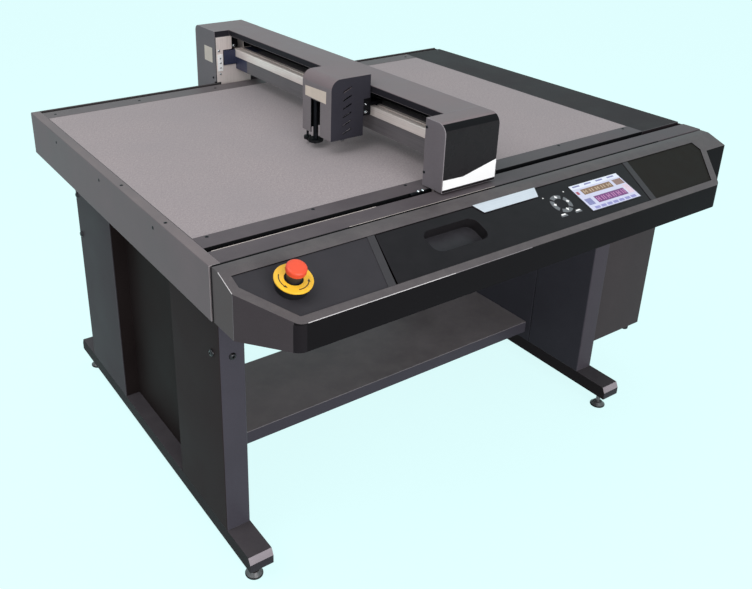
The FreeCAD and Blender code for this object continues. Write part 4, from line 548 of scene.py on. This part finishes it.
# the foot beams' tops, rounded front edges and flanks take lighter and darker tones of one paint: painted
# light, highlight and shade
footPaint = powderCoat("foot beam", (50, 48, 53), (100, 100, 106), 0.08, 0.42, 0.12, 0.02)
footTopPaint = powderCoat("foot top", (74, 70, 74), (110, 108, 112), 0.08, 0.42, 0.12, 0.02)
footBevelPaint = powderCoat("foot bevel", (150, 142, 148), (190, 186, 188), 0.2, 0.42, 0.12, 0)
footFlankPaint = powderCoat("foot flank", (40, 36, 38), (80, 78, 80), 0.03, 0.5, 0.12, 0)
levelMetal = metal("dull levelling foot", (104, 99, 101), (66, 63, 65), (300, 300, 300), 0.35, metallic=0.6)
boltSteel = metal("blackened bolt", (48, 45, 48), (28, 27, 30), (200, 200, 200), 0.26, metallic=0.7)
cabinetPaint = powderCoat("cabinet", (66, 61, 63), (110, 110, 112), 0.05, 0.45)
# a dark copy of the gantry paint for faces that little light reaches: painted shade
gantryShadePaint = powderCoat("gantry shade", (40, 39, 44), (76, 76, 82), 0.04, 0.45, 0.05, 0)
# near black for the insides of the slot, the caps and the hood, for screw sockets and for joints: painted shade
recessShadePaint = powderCoat("recess shade", (22, 22, 24), (50, 50, 52), 0.04, 0.6, 0.12, 0)
bedMat = feltMat("bed mat")
brushed = metal("brushed aluminium", (252, 242, 236), (212, 200, 194), (600, 5, 600), 0.34, metallic=0.3)
legMetal = metal("leg plate metal", (236, 224, 220), (210, 198, 194), (300, 300, 8), 0.45, metallic=0.35)
sheetMetal = metal("galvanised sheet", (170, 172, 174), (140, 142, 146), (30, 30, 30), 0.42)
zinc = metal("bright zinc", (205, 205, 208), (160, 160, 166), (400, 400, 400), 0.22)
latheSteel = metal("turned steel", (190, 190, 194), (120, 120, 126), (20, 20, 1500), 0.25)
blackSteel = metal("blackened steel", (40, 40, 44), (24, 24, 26), (80, 80, 80), 0.45)
beamPaint = metal("anodised beam", (114, 109, 112), (90, 86, 89), (400, 4, 400), 0.5, metallic=0.3)
lugPaint = metal("blue lug finish", (56, 60, 86), (42, 45, 66), (60, 400, 60), 0.4, metallic=0.3)
nameMetal = metal("bare name plate metal", (222, 222, 231), (186, 190, 202),
                  (8, 900, 900), 0.34, metallic=0.45)
mattPanel = plastic("matt panel", (55, 53, 57), 0.55, specular=0.08)
ribPlastic = plastic("panel rib", (60, 58, 61), 0.45, specular=0.12)
rightPanel = plastic("matt right panel", (38, 36, 34), 0.60, specular=0.04)
glossPanel = plastic("gloss panel", (31, 28, 31), 0.14, shade=0.10, bump=0.01, specular=0.08)
trayPlastic = plastic("moulded tray", (54, 52, 56), 0.38, shade=0.18, specular=0.12)
# a darker tone for the tray's walls: painted shade
trayWall = plastic("tray wall", (30, 28, 30), 0.34, shade=0.12, specular=0.14)
blackPlastic = plastic("black plastic", (26, 26, 28), 0.42, specular=0.2)
rubber = plastic("black rubber", (24, 24, 25), 0.75, grain=600, bump=0.3, specular=0.1)
footRubber = plastic("foot rubber", (40, 40, 42), 0.7, grain=600, bump=0.3, specular=0.2)
yellowPlastic = plastic("yellow plastic", (243, 190, 52), 0.36)
redPlastic = plastic("red plastic", (226, 78, 48), 0.34)
neckPlastic = plastic("stop neck plastic", (40, 38, 40), 0.35)
ringPrint = plastic("dark marks", (70, 52, 22), 0.5, shade=0.02)
whitePrint = plastic("white print", (246, 246, 246), 0.4, shade=0.02)
labelPlate = plastic("plain plate", (212, 200, 187), 0.5)
patchPlate = plastic("bare patch", (214, 206, 196), 0.5)
mediumPlastic = plastic("grey key plastic", (104, 106, 110), 0.4)
glossBlack = plastic("gloss black face", (33, 30, 32), 0.26, shade=0.10, bump=0.02, specular=0.10)
# a middle tone for part of the front cap's rounding, between its grey top and black front: painted light and
# shade
roundPaint = powderCoat("cap rounding", (82, 78, 81), (110, 108, 110), 0.2, 0.36, 0.05, 0)
# a darker, bluer copy of the cover paint for the hood's front face: painted shade
hoodFront = powderCoat("hood front", (50, 49, 56), (84, 84, 92), 0.04, 0.45, 0.05, 0)
print("finishes made")

# Camera: stands where the photograph was taken from
camera = {"place": (-0.5746, -1.1997, 0.6952), "yaw": 33.384, "pitch": 24.569, "roll": 0.416,
          "lens": 41.06, "sensor_width": 36, "shift_x": 0.0839, "shift_y": -0.1012, "clip_end": 50}


def makeCamera():
    yaw, pitch, roll = (math.radians(camera[key]) for key in ("yaw", "pitch", "roll"))
    turn = turned(-yaw, "Z") @ turned(math.pi / 2 - pitch, "X") @ turned(roll, "Z")
    data = bpy.data.cameras.new("camera")
    for key in ("lens", "sensor_width", "shift_x", "shift_y", "clip_end"):
        setattr(data, key, camera[key])
    viewer = addObject("camera", data)
    viewer.matrix_world = shifted(at(*camera["place"])) @ turn
    bpy.context.scene.camera = viewer


stage = {"floorSize": 14, "background": (224, 255, 255), "floorGrey": 0.30, "glow": 0.92, "shadow": 0.16,
         "ambient": 0.42, "ambientTint": (0.97, 0.98, 1, 1)}


def showTwo(tree, lit, seen, output):
    # the object gets its light from the first shader; the camera, mirrors and glass see the second
    rays = addNode(tree, "LightPath").outputs
    direct = mathOf(tree, "MAXIMUM", *(rays[f"Is {kind} Ray"] for kind in ("Camera", "Transmission", "Glossy")))
    mix = addNode(tree, "MixShader", {"Fac": direct, 1: lit.outputs[0], 2: seen.outputs[0]})
    addNode(tree, output, {"Surface": mix.outputs["Shader"]})


def makeStage():
    # pale floor that keeps a faint shadow, and a world of the same tone behind it
    material, tree = newMaterial("floor tone")[:2]
    tree.nodes.clear()
    pale = tone(*stage["background"])
    dim = tuple(value * stage["shadow"] for value in pale[:3]) + (1,)
    glow = addNode(tree, "Emission", {"Color": pale, "Strength": stage["glow"]})
    faint = addNode(tree, "BsdfDiffuse", {"Color": dim})
    seen = addNode(tree, "AddShader", {0: glow.outputs[0], 1: faint.outputs[0]})
    plain = addNode(tree, "BsdfDiffuse", {"Color": (stage["floorGrey"],) * 3 + (1,)})
    showTwo(tree, plain, seen, "OutputMaterial")
    bm = bmesh.new()
    bmesh.ops.create_grid(bm, x_segments=1, y_segments=1, size=stage["floorSize"] / 2)
    meshObject("floor", bm, material)
    world = bpy.data.worlds.new("studio")
    bpy.context.scene.world = world
    world.use_nodes = True
    tree = world.node_tree
    tree.nodes.clear()
    seen = addNode(tree, "Background", {"Color": pale})
    lit = addNode(tree, "Background", {"Color": stage["ambientTint"], "Strength": stage["ambient"]})
    showTwo(tree, lit, seen, "OutputWorld")


# place, the point it is aimed at, size, power
lamps = {"top left softbox": ((-1.6, 0.2, 2.6), (0.6, 0.5, 0), 2.4, 48),
         "top softbox": ((0.8, 0.9, 3), (0.7, 0.5, 0), 2.6, 14),
         "front fill": ((0, -3.2, 0.5), (0.6, 0.3, -0.3), 2.4, 100)}


def makeLamps():
    for name, (place, target, size, power) in lamps.items():
        data = bpy.data.lights.new(name, "AREA")
        data.shape, data.size, data.energy = "SQUARE", size, power
        aim = (at(*target) - at(*place)).normalized()
        turn = aim.to_track_quat("-Z", "Y").to_matrix().to_4x4()
        addObject(name, data).matrix_world = shifted(at(*place)) @ turn


makeCamera()
makeStage()
makeLamps()
bpy.context.scene.view_settings.view_transform = "Standard"
print("camera, floor and lamps made")


def paintNodes(material, *names):
    for name in names:
        for slot in nodes[name].material_slots:
            slot.material = material


# Table: rails, strips, covers, bed
tableTrim = {
    "trackPitch": 0.005, "headPitch": 0.003,
    # painted highlights along the strips' folds, and painted shade in the joint along the console: name,
    # finish, low and high corners, steps of the rounding
    "strips": [
        ("slot_edge_highlight", stripEdge, (0.030, 0.0486, -0.0020), (0.400, 0.0502, 0.0003), 2),
        ("front_edge_highlight", stripEdge, (0.300, -0.0002, -0.0020), (0.680, 0.0009, 0.0003), 2),
        ("console_joint", recessShadePaint, (0.006, -0.0030, -0.0030), (1.225, -0.0001, 0.0001), 1),
    ],
    # the dark joint on the mat's left, painted shade in the groove: width, depth, and how far it stands proud
    "matJoint": (0.0013, 0.0010, 0.0002),
}
trackBelt = beltRubber("track belt teeth", "X", tableTrim["trackPitch"])
headBelt = beltRubber("head belt teeth", "Y", tableTrim["headPitch"])


def makeTable():
    # the rail's top faces take the lighter copy of its paint: painted light
    refine("left_side_rail", "left_rail", "sheet", [railPaint, railTopLitPaint],
           lambda normal, place: int(normal.z > 0.9), edgeHighlight=railEdge)
    refine("right_side_rail", "right_rail", "sheet", [darkCoverPaint], edgeHighlight=darkEdge)
    refine("front_outer_strip", "outer_strip", "fold", [stripPaint])
    # the faces down inside the slot take the near black: painted shade
    refine("front_inner_strip", "inner_strip", "sheet", [stripPaint, recessShadePaint],
           lambda normal, place: int(normal.y < -0.5 or place.z < -0.004))
    refine("rear_strip", "back_strip", "sheet", [rearPaint])
    refine("rear_fascia", "back_fascia", "sheet", [sillPaint])
    refine("drive_cover", "shaft_cover", "sheet", [darkCoverPaint], edgeHighlight=darkEdge)
    refine("cutting_mat", "felt_mat", "fine", [bedMat])
    refine("table_frame", "welded_frame", "sheet", [framePaint])
    refine("vacuum_box", "suction_box", "fine", [sheetMetal])
    refine("drive_brackets", "bearing_plates", "fine", [sheetMetal])
    refine("drive_motor", "gantry_motor", "casting", [blackSteel])
    refine("track_rails", "ground_rails", "fine", [blackSteel])
    for name, finish, low, high, steps in tableTrim["strips"]:
        blockPiece(name, "front_outer_strip", finish, (low, high), onTable, segments=steps)
    low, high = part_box("cutting_mat")
    width, deep, proud = tableTrim["matJoint"]
    corners = ((low.x, low.y, high.z - deep), (low.x + width, high.y, high.z + proud))
    blockPiece("mat_joint", "cutting_mat", recessShadePaint, corners, Matrix(), 0.0003)
    paintNodes(brushed, "bed_plate")
    paintNodes(latheSteel, "drive_shaft", "idler_pulleys")
    paintNodes(trackBelt, "track_belts")
    paintNodes(headBelt, "head_belt")


screwHeads = {
    # name, largest radius of the socket, finish, how much bolder than in the CAD model
    "cover_screws": ("flat_screws", 0.0018, blackSteel, 1),
    "stand_bolts": ("button_bolts", 0.0030, boltSteel, 1.3),
}


def makeScrews():
    # the heads of the flat screws and of the stand's bolts, each in its CAD place
    middle = (table["width"] / 2, table["depth"] / 2)
    for node, (name, socket, finish, bold) in screwHeads.items():
        heads = []
        for low, high in looseParts(node):
            size = high - low
            axis = min(range(3), key=lambda index: size[index])
            centre = (low + high) / 2
            direction = Vector((0, 0, 0))
            direction[axis] = 1 if axis == 2 or centre[axis] > middle[axis] else -1
            base = centre - direction * size[axis] / 2
            radius = max(size) / 2
            heads.append((base, direction, radius * bold, size[axis] * bold, min(socket, radius * 0.5)))
        piece = screwPiece(name, node, finish, heads)
        smoothByAngle(piece, 50)
        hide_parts(node)


# the plane between the feet's rubber and metal, and how the painted highlight on the shelf's fold lies along
# its front
stand = {"solePlane": 0.0045, "foldInset": 0.002, "foldReach": 0.0012, "foldDrop": 0.0014, "proud": 0.0002}


def makeStand():
    # the foot beam's top, rounded front edge and flanks take their own tones: painted light, highlight and
    # shade
    def footFinish(normal, place):
        if normal.z > 0.95:
            return 1
        if normal.z > 0.15 and normal.y < -0.15:
            return 2
        return 3 if abs(normal.x) > 0.9 else 0
    for side in ("left", "right"):
        for end in ("front", "rear"):
            # each post's sides and faces take their own tones of one paint: painted light and shade
            flank = rightSidePaint if side == "right" else rearSidePaint if end == "rear" else sidePaint
            face = rightFacePaint if side == "right" else postPaint
            post = f"{side}_{end}_"
            refine(post + "post", post + "channel", "sheet", [flank, face],
                   lambda normal, place: int(abs(normal.y) > 0.6), edgeHighlight=darkEdge)
        # the left web takes a darker tone than the right: painted shade
        refine(f"{side}_web_panel", f"{side}_web", "sheet", [webPaint if side == "left" else rightSidePaint])
        refine(f"{side}_foot_beam", f"{side}_foot", "casting",
               [footPaint, footTopPaint, footBevelPaint, footFlankPaint], footFinish)
    # the shelf's top takes a lighter tone than its front flange: painted light and shade
    refine("shelf", "stand_shelf", "sheet", [shelfPaint, postPaint],
           lambda normal, place: int(normal.z <= 0.5))
    # a pale block along the shelf's front fold: painted highlight
    low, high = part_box("shelf")
    inset, proud = stand["foldInset"], stand["proud"]
    corners = ((low.x + inset, low.y - proud, high.z - stand["foldDrop"]),
               (high.x - inset, low.y + stand["foldReach"], high.z + proud))
    blockPiece("shelf_fold_highlight", "shelf", coverEdge, corners, Matrix())
    sole = stand["solePlane"]
    refine("levelling_feet", "screw_feet", "sheet", [footRubber, levelMetal],
           lambda normal, place: int(place.z + tableCorner.z >= sole), cuts=[((0, 0, sole), upward)])


stopButton = {"across": 0.1084, "down": 0.0755, "collarHeight": 0.0205, "ringHeight": 0.003, "marks": 3,
              "markStart": 20, "markRadius": 0.0268, "markSweep": 62, "markWidth": 0.0019, "tipSweep": 16,
              "tipReach": 0.00294}
printThickness = 0.0002


def makeStopButton():
    refine("estop_collar", "stop_collar", "fold", [blackPlastic])
    refine("estop_ring", "stop_ring", "sheet", [yellowPlastic])
    refine("estop_stem", "stop_neck", "sheet", [neckPlastic])
    refine("estop_cap", "stop_mushroom", "fine", [redPlastic], segments=3)
    bm = bmesh.new()
    high = stopButton["collarHeight"] + stopButton["ringHeight"] - panelDepth - 0.00005
    place = onPanel @ shifted(stopButton["across"], -stopButton["down"], high)
    radius, reach = stopButton["markRadius"], stopButton["tipReach"]
    for mark in range(stopButton["marks"]):
        first = stopButton["markStart"] + mark * 360 / stopButton["marks"]
        last = first + stopButton["markSweep"]
        addPlate(bm, arcOutline(radius, stopButton["markWidth"], first, last), printThickness, place)
        corners = ((radius + reach, last), (radius, last + stopButton["tipSweep"]), (radius - reach, last))
        addPlate(bm, [polar(*corner) for corner in corners], printThickness, place)
    addPiece("twist_arrows", bm, "estop_ring", ringPrint)


# Console: the display is drawn on a square one unit across and down, then laid over the screen
display = {
    "corners": ((0.8385, -0.0390), (0.9938, -0.0397), (0.9932, -0.1196), (0.8388, -0.1186)),
    "glass": 0.0010,
    "glow": 0.14,
    "tones": {"pale": (196, 198, 220), "bar": (214, 220, 232), "brown": (124, 98, 77), "tan": (182, 160, 136),
              "dull": (134, 108, 102), "red": (160, 78, 96), "purple": (110, 57, 114), "pink": (186, 125, 171),
              "blue": (126, 127, 172), "lilac": (140, 139, 190), "rose": (210, 191, 205)},
    "tiles": [("bar", 0, 1, 0, 0.15), ("brown", 0.13, 0.74, 0.21, 0.42), ("dull", 0.80, 0.98, 0.20, 0.41),
              ("red", 0.02, 0.07, 0.25, 0.36), ("purple", 0.23, 0.85, 0.55, 0.80),
              ("blue", 0.035, 0.16, 0.56, 0.80), ("rose", 0.88, 0.99, 0.46, 0.80)],
    # rows of blocks: tone, count, first left side, pitch, width, top and bottom, layer
    "rows": [("lilac", 7, 0.08, 0.125, 0.10, 0.88, 0.97, 0), ("blue", 4, 0.05, 0.24, 0.14, 0.04, 0.09, 1)],
    # rows of bars that stand in a tile: tone, count, tile
    "bars": [("tan", 5, 1), ("pink", 6, 4)],
}


def displayPlate(bm, tile, low, material):
    # four corners of a tile, laid between the corners of the screen
    first, second, third, fourth = (Vector(corner) for corner in display["corners"])
    left, right, top, bottom = tile
    corners = [tuple(first.lerp(second, across).lerp(fourth.lerp(third, across), down))
               for across, down in ((left, top), (right, top), (right, bottom), (left, bottom))]
    addPlate(bm, corners, printThickness, onPanel @ shifted(0, 0, low), material)


def makeDisplay():
    refine("touch_screen", "screen_frame", "fine", [glossBlack])
    tones = list(display["tones"])
    finishes = [screenGlass(f"screen {name}", tint, display["glow"]) for name, tint in display["tones"].items()]
    bm = bmesh.new()
    layer = 0.0001
    low = display["glass"] - panelDepth
    displayPlate(bm, (0, 1, 0, 1), low - layer, tones.index("pale"))
    for name, *tile in display["tiles"]:
        displayPlate(bm, tile, low, tones.index(name))
    for name, count, tile in display["bars"]:
        left, right, top, bottom = display["tiles"][tile][1:]
        width = (right - left) / count
        top, bottom = top + 0.05, bottom - 0.05
        half = (top + bottom) / 2
        for number in range(count):
            start = left + width * (number + 0.22)
            bars = ((start, start + width * 0.16, top, bottom),
                    (start + width * 0.42, start + width * 0.58, top, bottom),
                    (start, start + width * 0.58, half - 0.012, half + 0.012))
            for bar in bars[:2] if number % 2 else bars:
                displayPlate(bm, bar, low + layer, tones.index(name))
    for name, count, left, pitch, width, top, bottom, layers in display["rows"]:
        for number in range(count):
            start = left + number * pitch
            displayPlate(bm, (start, start + width, top, bottom), low + layer * layers, tones.index(name))
    addPiece("display", bm, "touch_screen", *finishes)


keys = {
    "across": 0.7835, "down": 0.0743, "low": 0.0008, "turns": (0, 90, 180, 270), "iconReach": 0.0205,
    "tip": [(-0.0030, -0.0042), (0.0034, 0), (-0.0030, 0.0042)],
    "tail": ((-0.0052, -0.0014), (-0.0030, 0.0014)),
    "bars": ((0.761, 0.1043), (0.805, 0.1045)), "barSize": (0.0062, 0.0018),
    "dots": ((0.816, 0.0466), (0.7523, 0.0482)), "dotRadius": 0.0016, "dotHeight": 0.0005,
}


def makeKeys():
    refine("console_keys", "membrane_keys", "key", [mediumPlastic])
    bm = bmesh.new()
    low = keys["low"] - panelDepth - 0.00005
    centre = onPanel @ shifted(keys["across"], -keys["down"], low)
    reach = shifted(keys["iconReach"], 0, 0)
    for turn in keys["turns"]:
        # a small arrow on each arc of the ring
        place = centre @ turned(math.radians(turn), "Z") @ reach
        addPlate(bm, keys["tip"], printThickness, place)
        addPlate(bm, rectangle(*keys["tail"]), printThickness, place)
    wide, tall = keys["barSize"]
    for across, down in keys["bars"]:
        place = onPanel @ shifted(across, -down, low)
        addPlate(bm, rectangle((-wide, -tall), (wide, tall)), printThickness, place)
    for across, down in keys["dots"]:
        place = onPanel @ shifted(across, -down, -panelDepth)
        addDisc(bm, place, keys["dotRadius"], keys["dotHeight"], 16)
    addPiece("key_marks", bm, "console_keys", whitePrint)


trim = {
    "earScrew": ((1.3900, -0.0600, -0.064), rightward, 0.0035, 0.0018, 0.0015),
    # the light that the folds catch along the front and up the left end, as corners on the slope
    "brightFolds": [((0.094, -panelReach - 0.0002, -0.0012), (0.420, -panelReach + 0.0011, 0.0003)),
                    ((0.0028, -0.054, -0.0012), (0.0039, -0.001, 0.0003))],
    # a dimmer painted highlight where the light along the front fold fades
    "dullFold": ((0.420, -panelReach - 0.0002, -0.0012), (0.620, -panelReach + 0.0009, 0.0003)),
    # the smooth skin of the rounded corner, in a tone between the chamfer's and the front's, painted shade:
    # radius, thickness, first and last angle; height; middle
    "cornerArc": (0.0247, 0.0014, 216, 271), "cornerHeight": 0.054, "cornerMiddle": (0.0911, -0.149, -0.1115),
    # the faint painted highlight down the corner's fold, and the strip of seal in the seam between the console
    # and the table
    "cornerFold": ((0.0028, -0.0787, -0.110), (0.0036, -0.0778, -0.022)),
    "seal": ((0.0036, -0.0062, -0.110), (0.0090, 0.0002, -0.0012)),
    "ribFrom": 0.0005, "trayFrom": -0.0045, "chamferEnd": 0.072, "leftPanelEnd": 0.7,
}


def makeConsole():
    toPanel = onPanel.inverted()
    up = onPanel.to_3x3() @ Vector(upward)

    def offPanel(place):
        return (toPanel @ (place + tableCorner)).z

    # the console's top, front, chamfer and left end each take their own tone of one paint: painted light and
    # shade
    def shellFinish(normal, place):
        if normal.z > 0.5:
            return 0
        if normal.x < -0.9 and place.x < 0.01:
            return 3
        return 2 if normal.x < -0.6 and place.x < trim["chamferEnd"] else 1

    def panelFinish(normal, place):
        if offPanel(place) > trim["ribFrom"] - panelDepth:
            return 2
        return 1 if place.x > trim["leftPanelEnd"] else 0

    # the tray's walls take a darker tone than its floor: painted shade
    def trayFinish(normal, place):
        if offPanel(place) > trim["trayFrom"]:
            return 0
        return 1 if normal.dot(up) > 0.7 else 2
    refine("console_shell", "console_case", "case", [consolePaint, skirtPaint, skirtSidePaint, consoleEndPaint],
           shellFinish)
    refine("console_side_panels", "end_panels", "fine", [mattPanel, rightPanel, ribPlastic], panelFinish)
    refine("console_centre_panel", "centre_panel", "sheet", [glossPanel, trayPlastic, trayWall], trayFinish)
    refine("name_plate", "bare_plate", "fine", [nameMetal])
    makeStopButton()
    makeDisplay()
    makeKeys()
    shell = "console_shell"
    screwPiece("ear_screw", shell, zinc, [trim["earScrew"]])
    # pale blocks along the folds: painted highlights
    bm = bmesh.new()
    for corners in trim["brightFolds"]:
        addBlock(bm, *corners, edge["fine"], 2, onPanel)
    addPiece("console_folds", bm, shell, consoleEdge)
    blockPiece("console_fold_end", shell, coverEdge, trim["dullFold"], onPanel)
    # a skin over the rounded corner in a tone between the chamfer's and the front's: painted shade
    place = onTable @ shifted(trim["cornerMiddle"])
    skin = arcOutline(*trim["cornerArc"])
    piece = platePiece("console_corner_skin", shell, cornerPaint, skin, trim["cornerHeight"], place)
    smoothByAngle(piece, 40)
    # a faint pale block down the corner's fold: painted highlight
    blockPiece("console_corner_fold", shell, darkEdge, trim["cornerFold"], onTable, 0.0003)
    blockPiece("seam_seal", shell, seamSeal, trim["seal"], onTable)


printLift = 0.0001
gantry = {
    "left": 0.548, "front": 0.021, "capSide": 0.69, "capInside": (0.002, 0.023, 0.150),
    "whiteFace": [(0.5495, 0.0110), (0.6970, 0.0115), (0.6970, 0.0530), (0.6050, 0.0315), (0.5495, 0.0330)],
    "sidePatch": [(-1.098, 0.058), (-1.048, 0.102)],
    # screws: place, the way they face, radius and height of the head, radius of the socket
    "capScrews": [((0.548, back, high), leftward, 0.0032, 0.0018, 0.0014)
                  for back, high in ((0.0792, 0.1335), (0.0795, 0.0339))],
    "rearCapScrew": ((0.548, 1.046, 0.014), leftward, 0.0036, 0.0022, 0.0015),
}


def makeCaps():
    across, back, high = gantry["capInside"]

    # the cap's insides take near black, its left face a tone of its own and part of its rounding a middle tone:
    # painted shade and light
    def capFinish(normal, place):
        if place.x > gantry["left"] + across and place.z < high and place.y > back and abs(normal.z) < 0.9:
            return 2 if place.x < gantry["capSide"] else 0
        if normal.x < -0.9:
            return 3
        if place.y < 0.3 and normal.y < -0.45:
            return 1 if normal.y < -0.75 else 4
        return 0

    # the rear cap's left face takes a tone of its own and the faces inside its front the dark paint: painted
    # light and shade
    def rearCapFinish(normal, place):
        if normal.x < -0.9:
            return 2
        return 1 if normal.y < -0.9 and place.x > gantry["left"] + across else 0
    # the long cover's left-facing faces take the dark paint: painted shade
    refine("beam_cover", "long_cover", "fold", [coverPaint, gantryShadePaint],
           lambda normal, place: int(normal.x < -0.9), edgeHighlight=coverEdge)
    refine("front_cap", "front_end_cap", "fold", [coverPaint, glossBlack, recessShadePaint, capFlank, roundPaint],
           capFinish, edgeHighlight=coverEdge)
    refine("rear_cap", "rear_end_cap", "sheet", [coverPaint, gantryShadePaint, capFlank], rearCapFinish,
           edgeHighlight=coverEdge)
    platePiece("white_corner", "front_cap", whitePrint, gantry["whiteFace"], 0.0005,
               facing((0, gantry["front"] + printLift, 0), frontward))
    screwPiece("cap_screws", "front_cap", blackSteel, gantry["capScrews"])
    patch = platePiece("bare_patch", "rear_cap", patchPlate, rectangle(*gantry["sidePatch"]), 0.0004,
                       facing((gantry["left"] + printLift, 0, 0), leftward))
    softEdges(patch, 0.0002, 1)
    screwPiece("rear_cap_screw", "rear_cap", blackSteel, [gantry["rearCapScrew"]])


legs = {
    "plateSide": 0.57, "lugFront": 0.955,
    "strip": ((0.5515, 0.0365), (0.5685, 0.0865)), "stripFace": 1.023,
    "plateBolts": [*(((0.560, 1.0203, high), frontward, 0.0030, 0.0014, 0.0013)
                     for high in (0.047, 0.061, 0.075)),
                   ((0.557, 1.0232, 0.0965), frontward, 0.0040, 0.0026, 0.0018),
                   ((0.560, 1.0232, 0.028), frontward, 0.0034, 0.0026, 0.00153),
                   ((0.607, 1.0232, 0.107), frontward, 0.0042, 0.0026, 0.00189)],
    # the small clamp with two bolts that shows in the front slot beside the plate
    "clamp": ((0.500, 0.0605, -0.012), (0.541, 0.0655, 0.0012)),
    "clampBolts": [((across, 0.0630, 0.0012), upward, 0.0034, 0.0030, 0.0015) for across in (0.521, 0.533)],
}


def makeLegs():
    lug = legs["lugFront"]
    refine("front_leg", "front_plate", "fine", [legMetal])
    # the rear plate's left end faces take the dark paint: painted shade
    refine("rear_leg", "rear_plate", "fine", [legMetal, gantryShadePaint],
           lambda normal, place: int(normal.x < -0.9 and place.x < legs["plateSide"]))
    refine("gantry_beam", "hollow_beam", "sheet", [beamPaint, lugPaint],
           lambda normal, place: int(place.y > lug), cuts=[(at(0, lug, 0), (0, 1, 0))])
    refine("head_rail", "ground_rail", "sheet", [brushed])
    refine("gantry_trucks", "truck_blocks", "fine", [blackSteel])
    strip = platePiece("white_strip", "rear_leg", whitePrint, rectangle(*legs["strip"]), 0.003,
                       facing((0, legs["stripFace"], 0), frontward))
    softEdges(strip, 0.0014, 3)
    smoothByAngle(screwPiece("plate_bolts", "rear_leg", zinc, legs["plateBolts"]), 50)
    smoothByAngle(blockPiece("slot_clamp", "front_leg", blackSteel, legs["clamp"], onTable, 0.0006))
    smoothByAngle(screwPiece("clamp_bolts", "front_leg", zinc, legs["clampBolts"]), 50)


head = {
    "left": 0.4835, "front": 0.3345, "top": 0.180, "back": 0.4535, "innerRight": 0.574, "roundFrom": 0.150,
    "skin": 0.0005,
    "plate": [(-0.442, 0.1222), (-0.3555, 0.1205), (-0.3555, 0.1490), (-0.442, 0.1455)],
    "bolts": [((0.594, 0.354, 0.085), frontward, 0.0050, 0.0040, 0.0022),
              ((0.594, 0.354, 0.104), frontward, 0.0036, 0.0030, 0.0016)],
    # knurled rings that turn the depth of the wheel and of the pen: middle, radius, low, high, teeth
    "rings": [("wheel_ring", "crease_holder", (0.495, 0.414, 0), 0.0184, 0.0146, 0.0199, 44),
              ("pen_ring", "pen_holder", (0.492, 0.4444, 0), 0.0091, 0.0116, 0.0189, 26)],
}


def makeHead():
    # the hood's front, left faces and insides take tones of their own: painted shade and light
    def hoodFinish(normal, place):
        skin = head["skin"]
        onFront = place.y < head["front"] + skin
        if normal.y < -0.9 and onFront:
            return 1
        onSkin = (place.x < head["left"] + skin or onFront or place.z > head["top"] - skin
                  or place.y > head["back"] or (normal.x > 0.5 and place.x > head["innerRight"]))
        if onSkin and normal.x < -0.9:
            return 3
        return 0 if onSkin or (place.z > head["roundFrom"] and normal.z > 0.05) else 2
    refine("head_hood", "tool_hood", "sheet", [coverPaint, hoodFront, recessShadePaint, hoodFlank], hoodFinish)
    refine("head_carriage", "carriage", "sheet", [blackSteel])
    platePiece("pale_plate", "head_hood", labelPlate, head["plate"], 0.0005,
               facing((head["left"] + printLift, 0, 0), leftward))
    smoothByAngle(screwPiece("carriage_bolts", "head_carriage", zinc, head["bolts"]), 50)
    refine("crease_holder", "wheel_holder", "fine", [blackSteel])
    refine("pen_holder", "pen_socket", "fine", [blackSteel])
    for name, node, middle, *sizes in head["rings"]:
        bm = bmesh.new()
        addKnurl(bm, shifted(at(*middle)), *sizes)
        addPiece(name, bm, node, blackPlastic)
    refine("knife_holder", "blade_holder", "sheet", [latheSteel])
    refine("knife", "cutting_blade", "key", [latheSteel], segments=1)
    refine("crease_wheel", "wheel", "key", [latheSteel], segments=1)
    refine("head_motor", "belt_motor", "casting", [blackSteel])
    paintNodes(latheSteel, "head_idler", "head_drive_pulley")


# outline of a rubber foot as (radius, height); how far the feet stand in from left, right, front and back
cabinet = {"foot": [(0, 0), (0.0085, 0), (0.0100, 0.0015), (0.0110, 0.0140), (0, 0.0140)],
           "insets": (0.014, 0.045, 0.014, 0.014)}


def makeCabinet():
    refine("pump_cabinet", "suction_cabinet", "casting", [cabinetPaint], edgeHighlight=darkEdge)
    refine("vacuum_pump", "suction_pump", "sheet", [blackSteel])
    low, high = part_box("pump_cabinet")
    left, right, front, rear = cabinet["insets"]
    drop = max(height for radius, height in cabinet["foot"])
    bm = bmesh.new()
    for across in (low.x + left, high.x - right):
        for back in (low.y + front, high.y - rear):
            addLathe(bm, cabinet["foot"], shifted(across, back, low.z - drop), 28)
    smoothByAngle(addPiece("cabinet_feet", bm, "pump_cabinet", footRubber))


makeTable()
makeScrews()
makeStand()
print("table and stand made")
makeConsole()
print("console made")
makeCaps()
makeLegs()
makeHead()
makeCabinet()
print("pieces made")
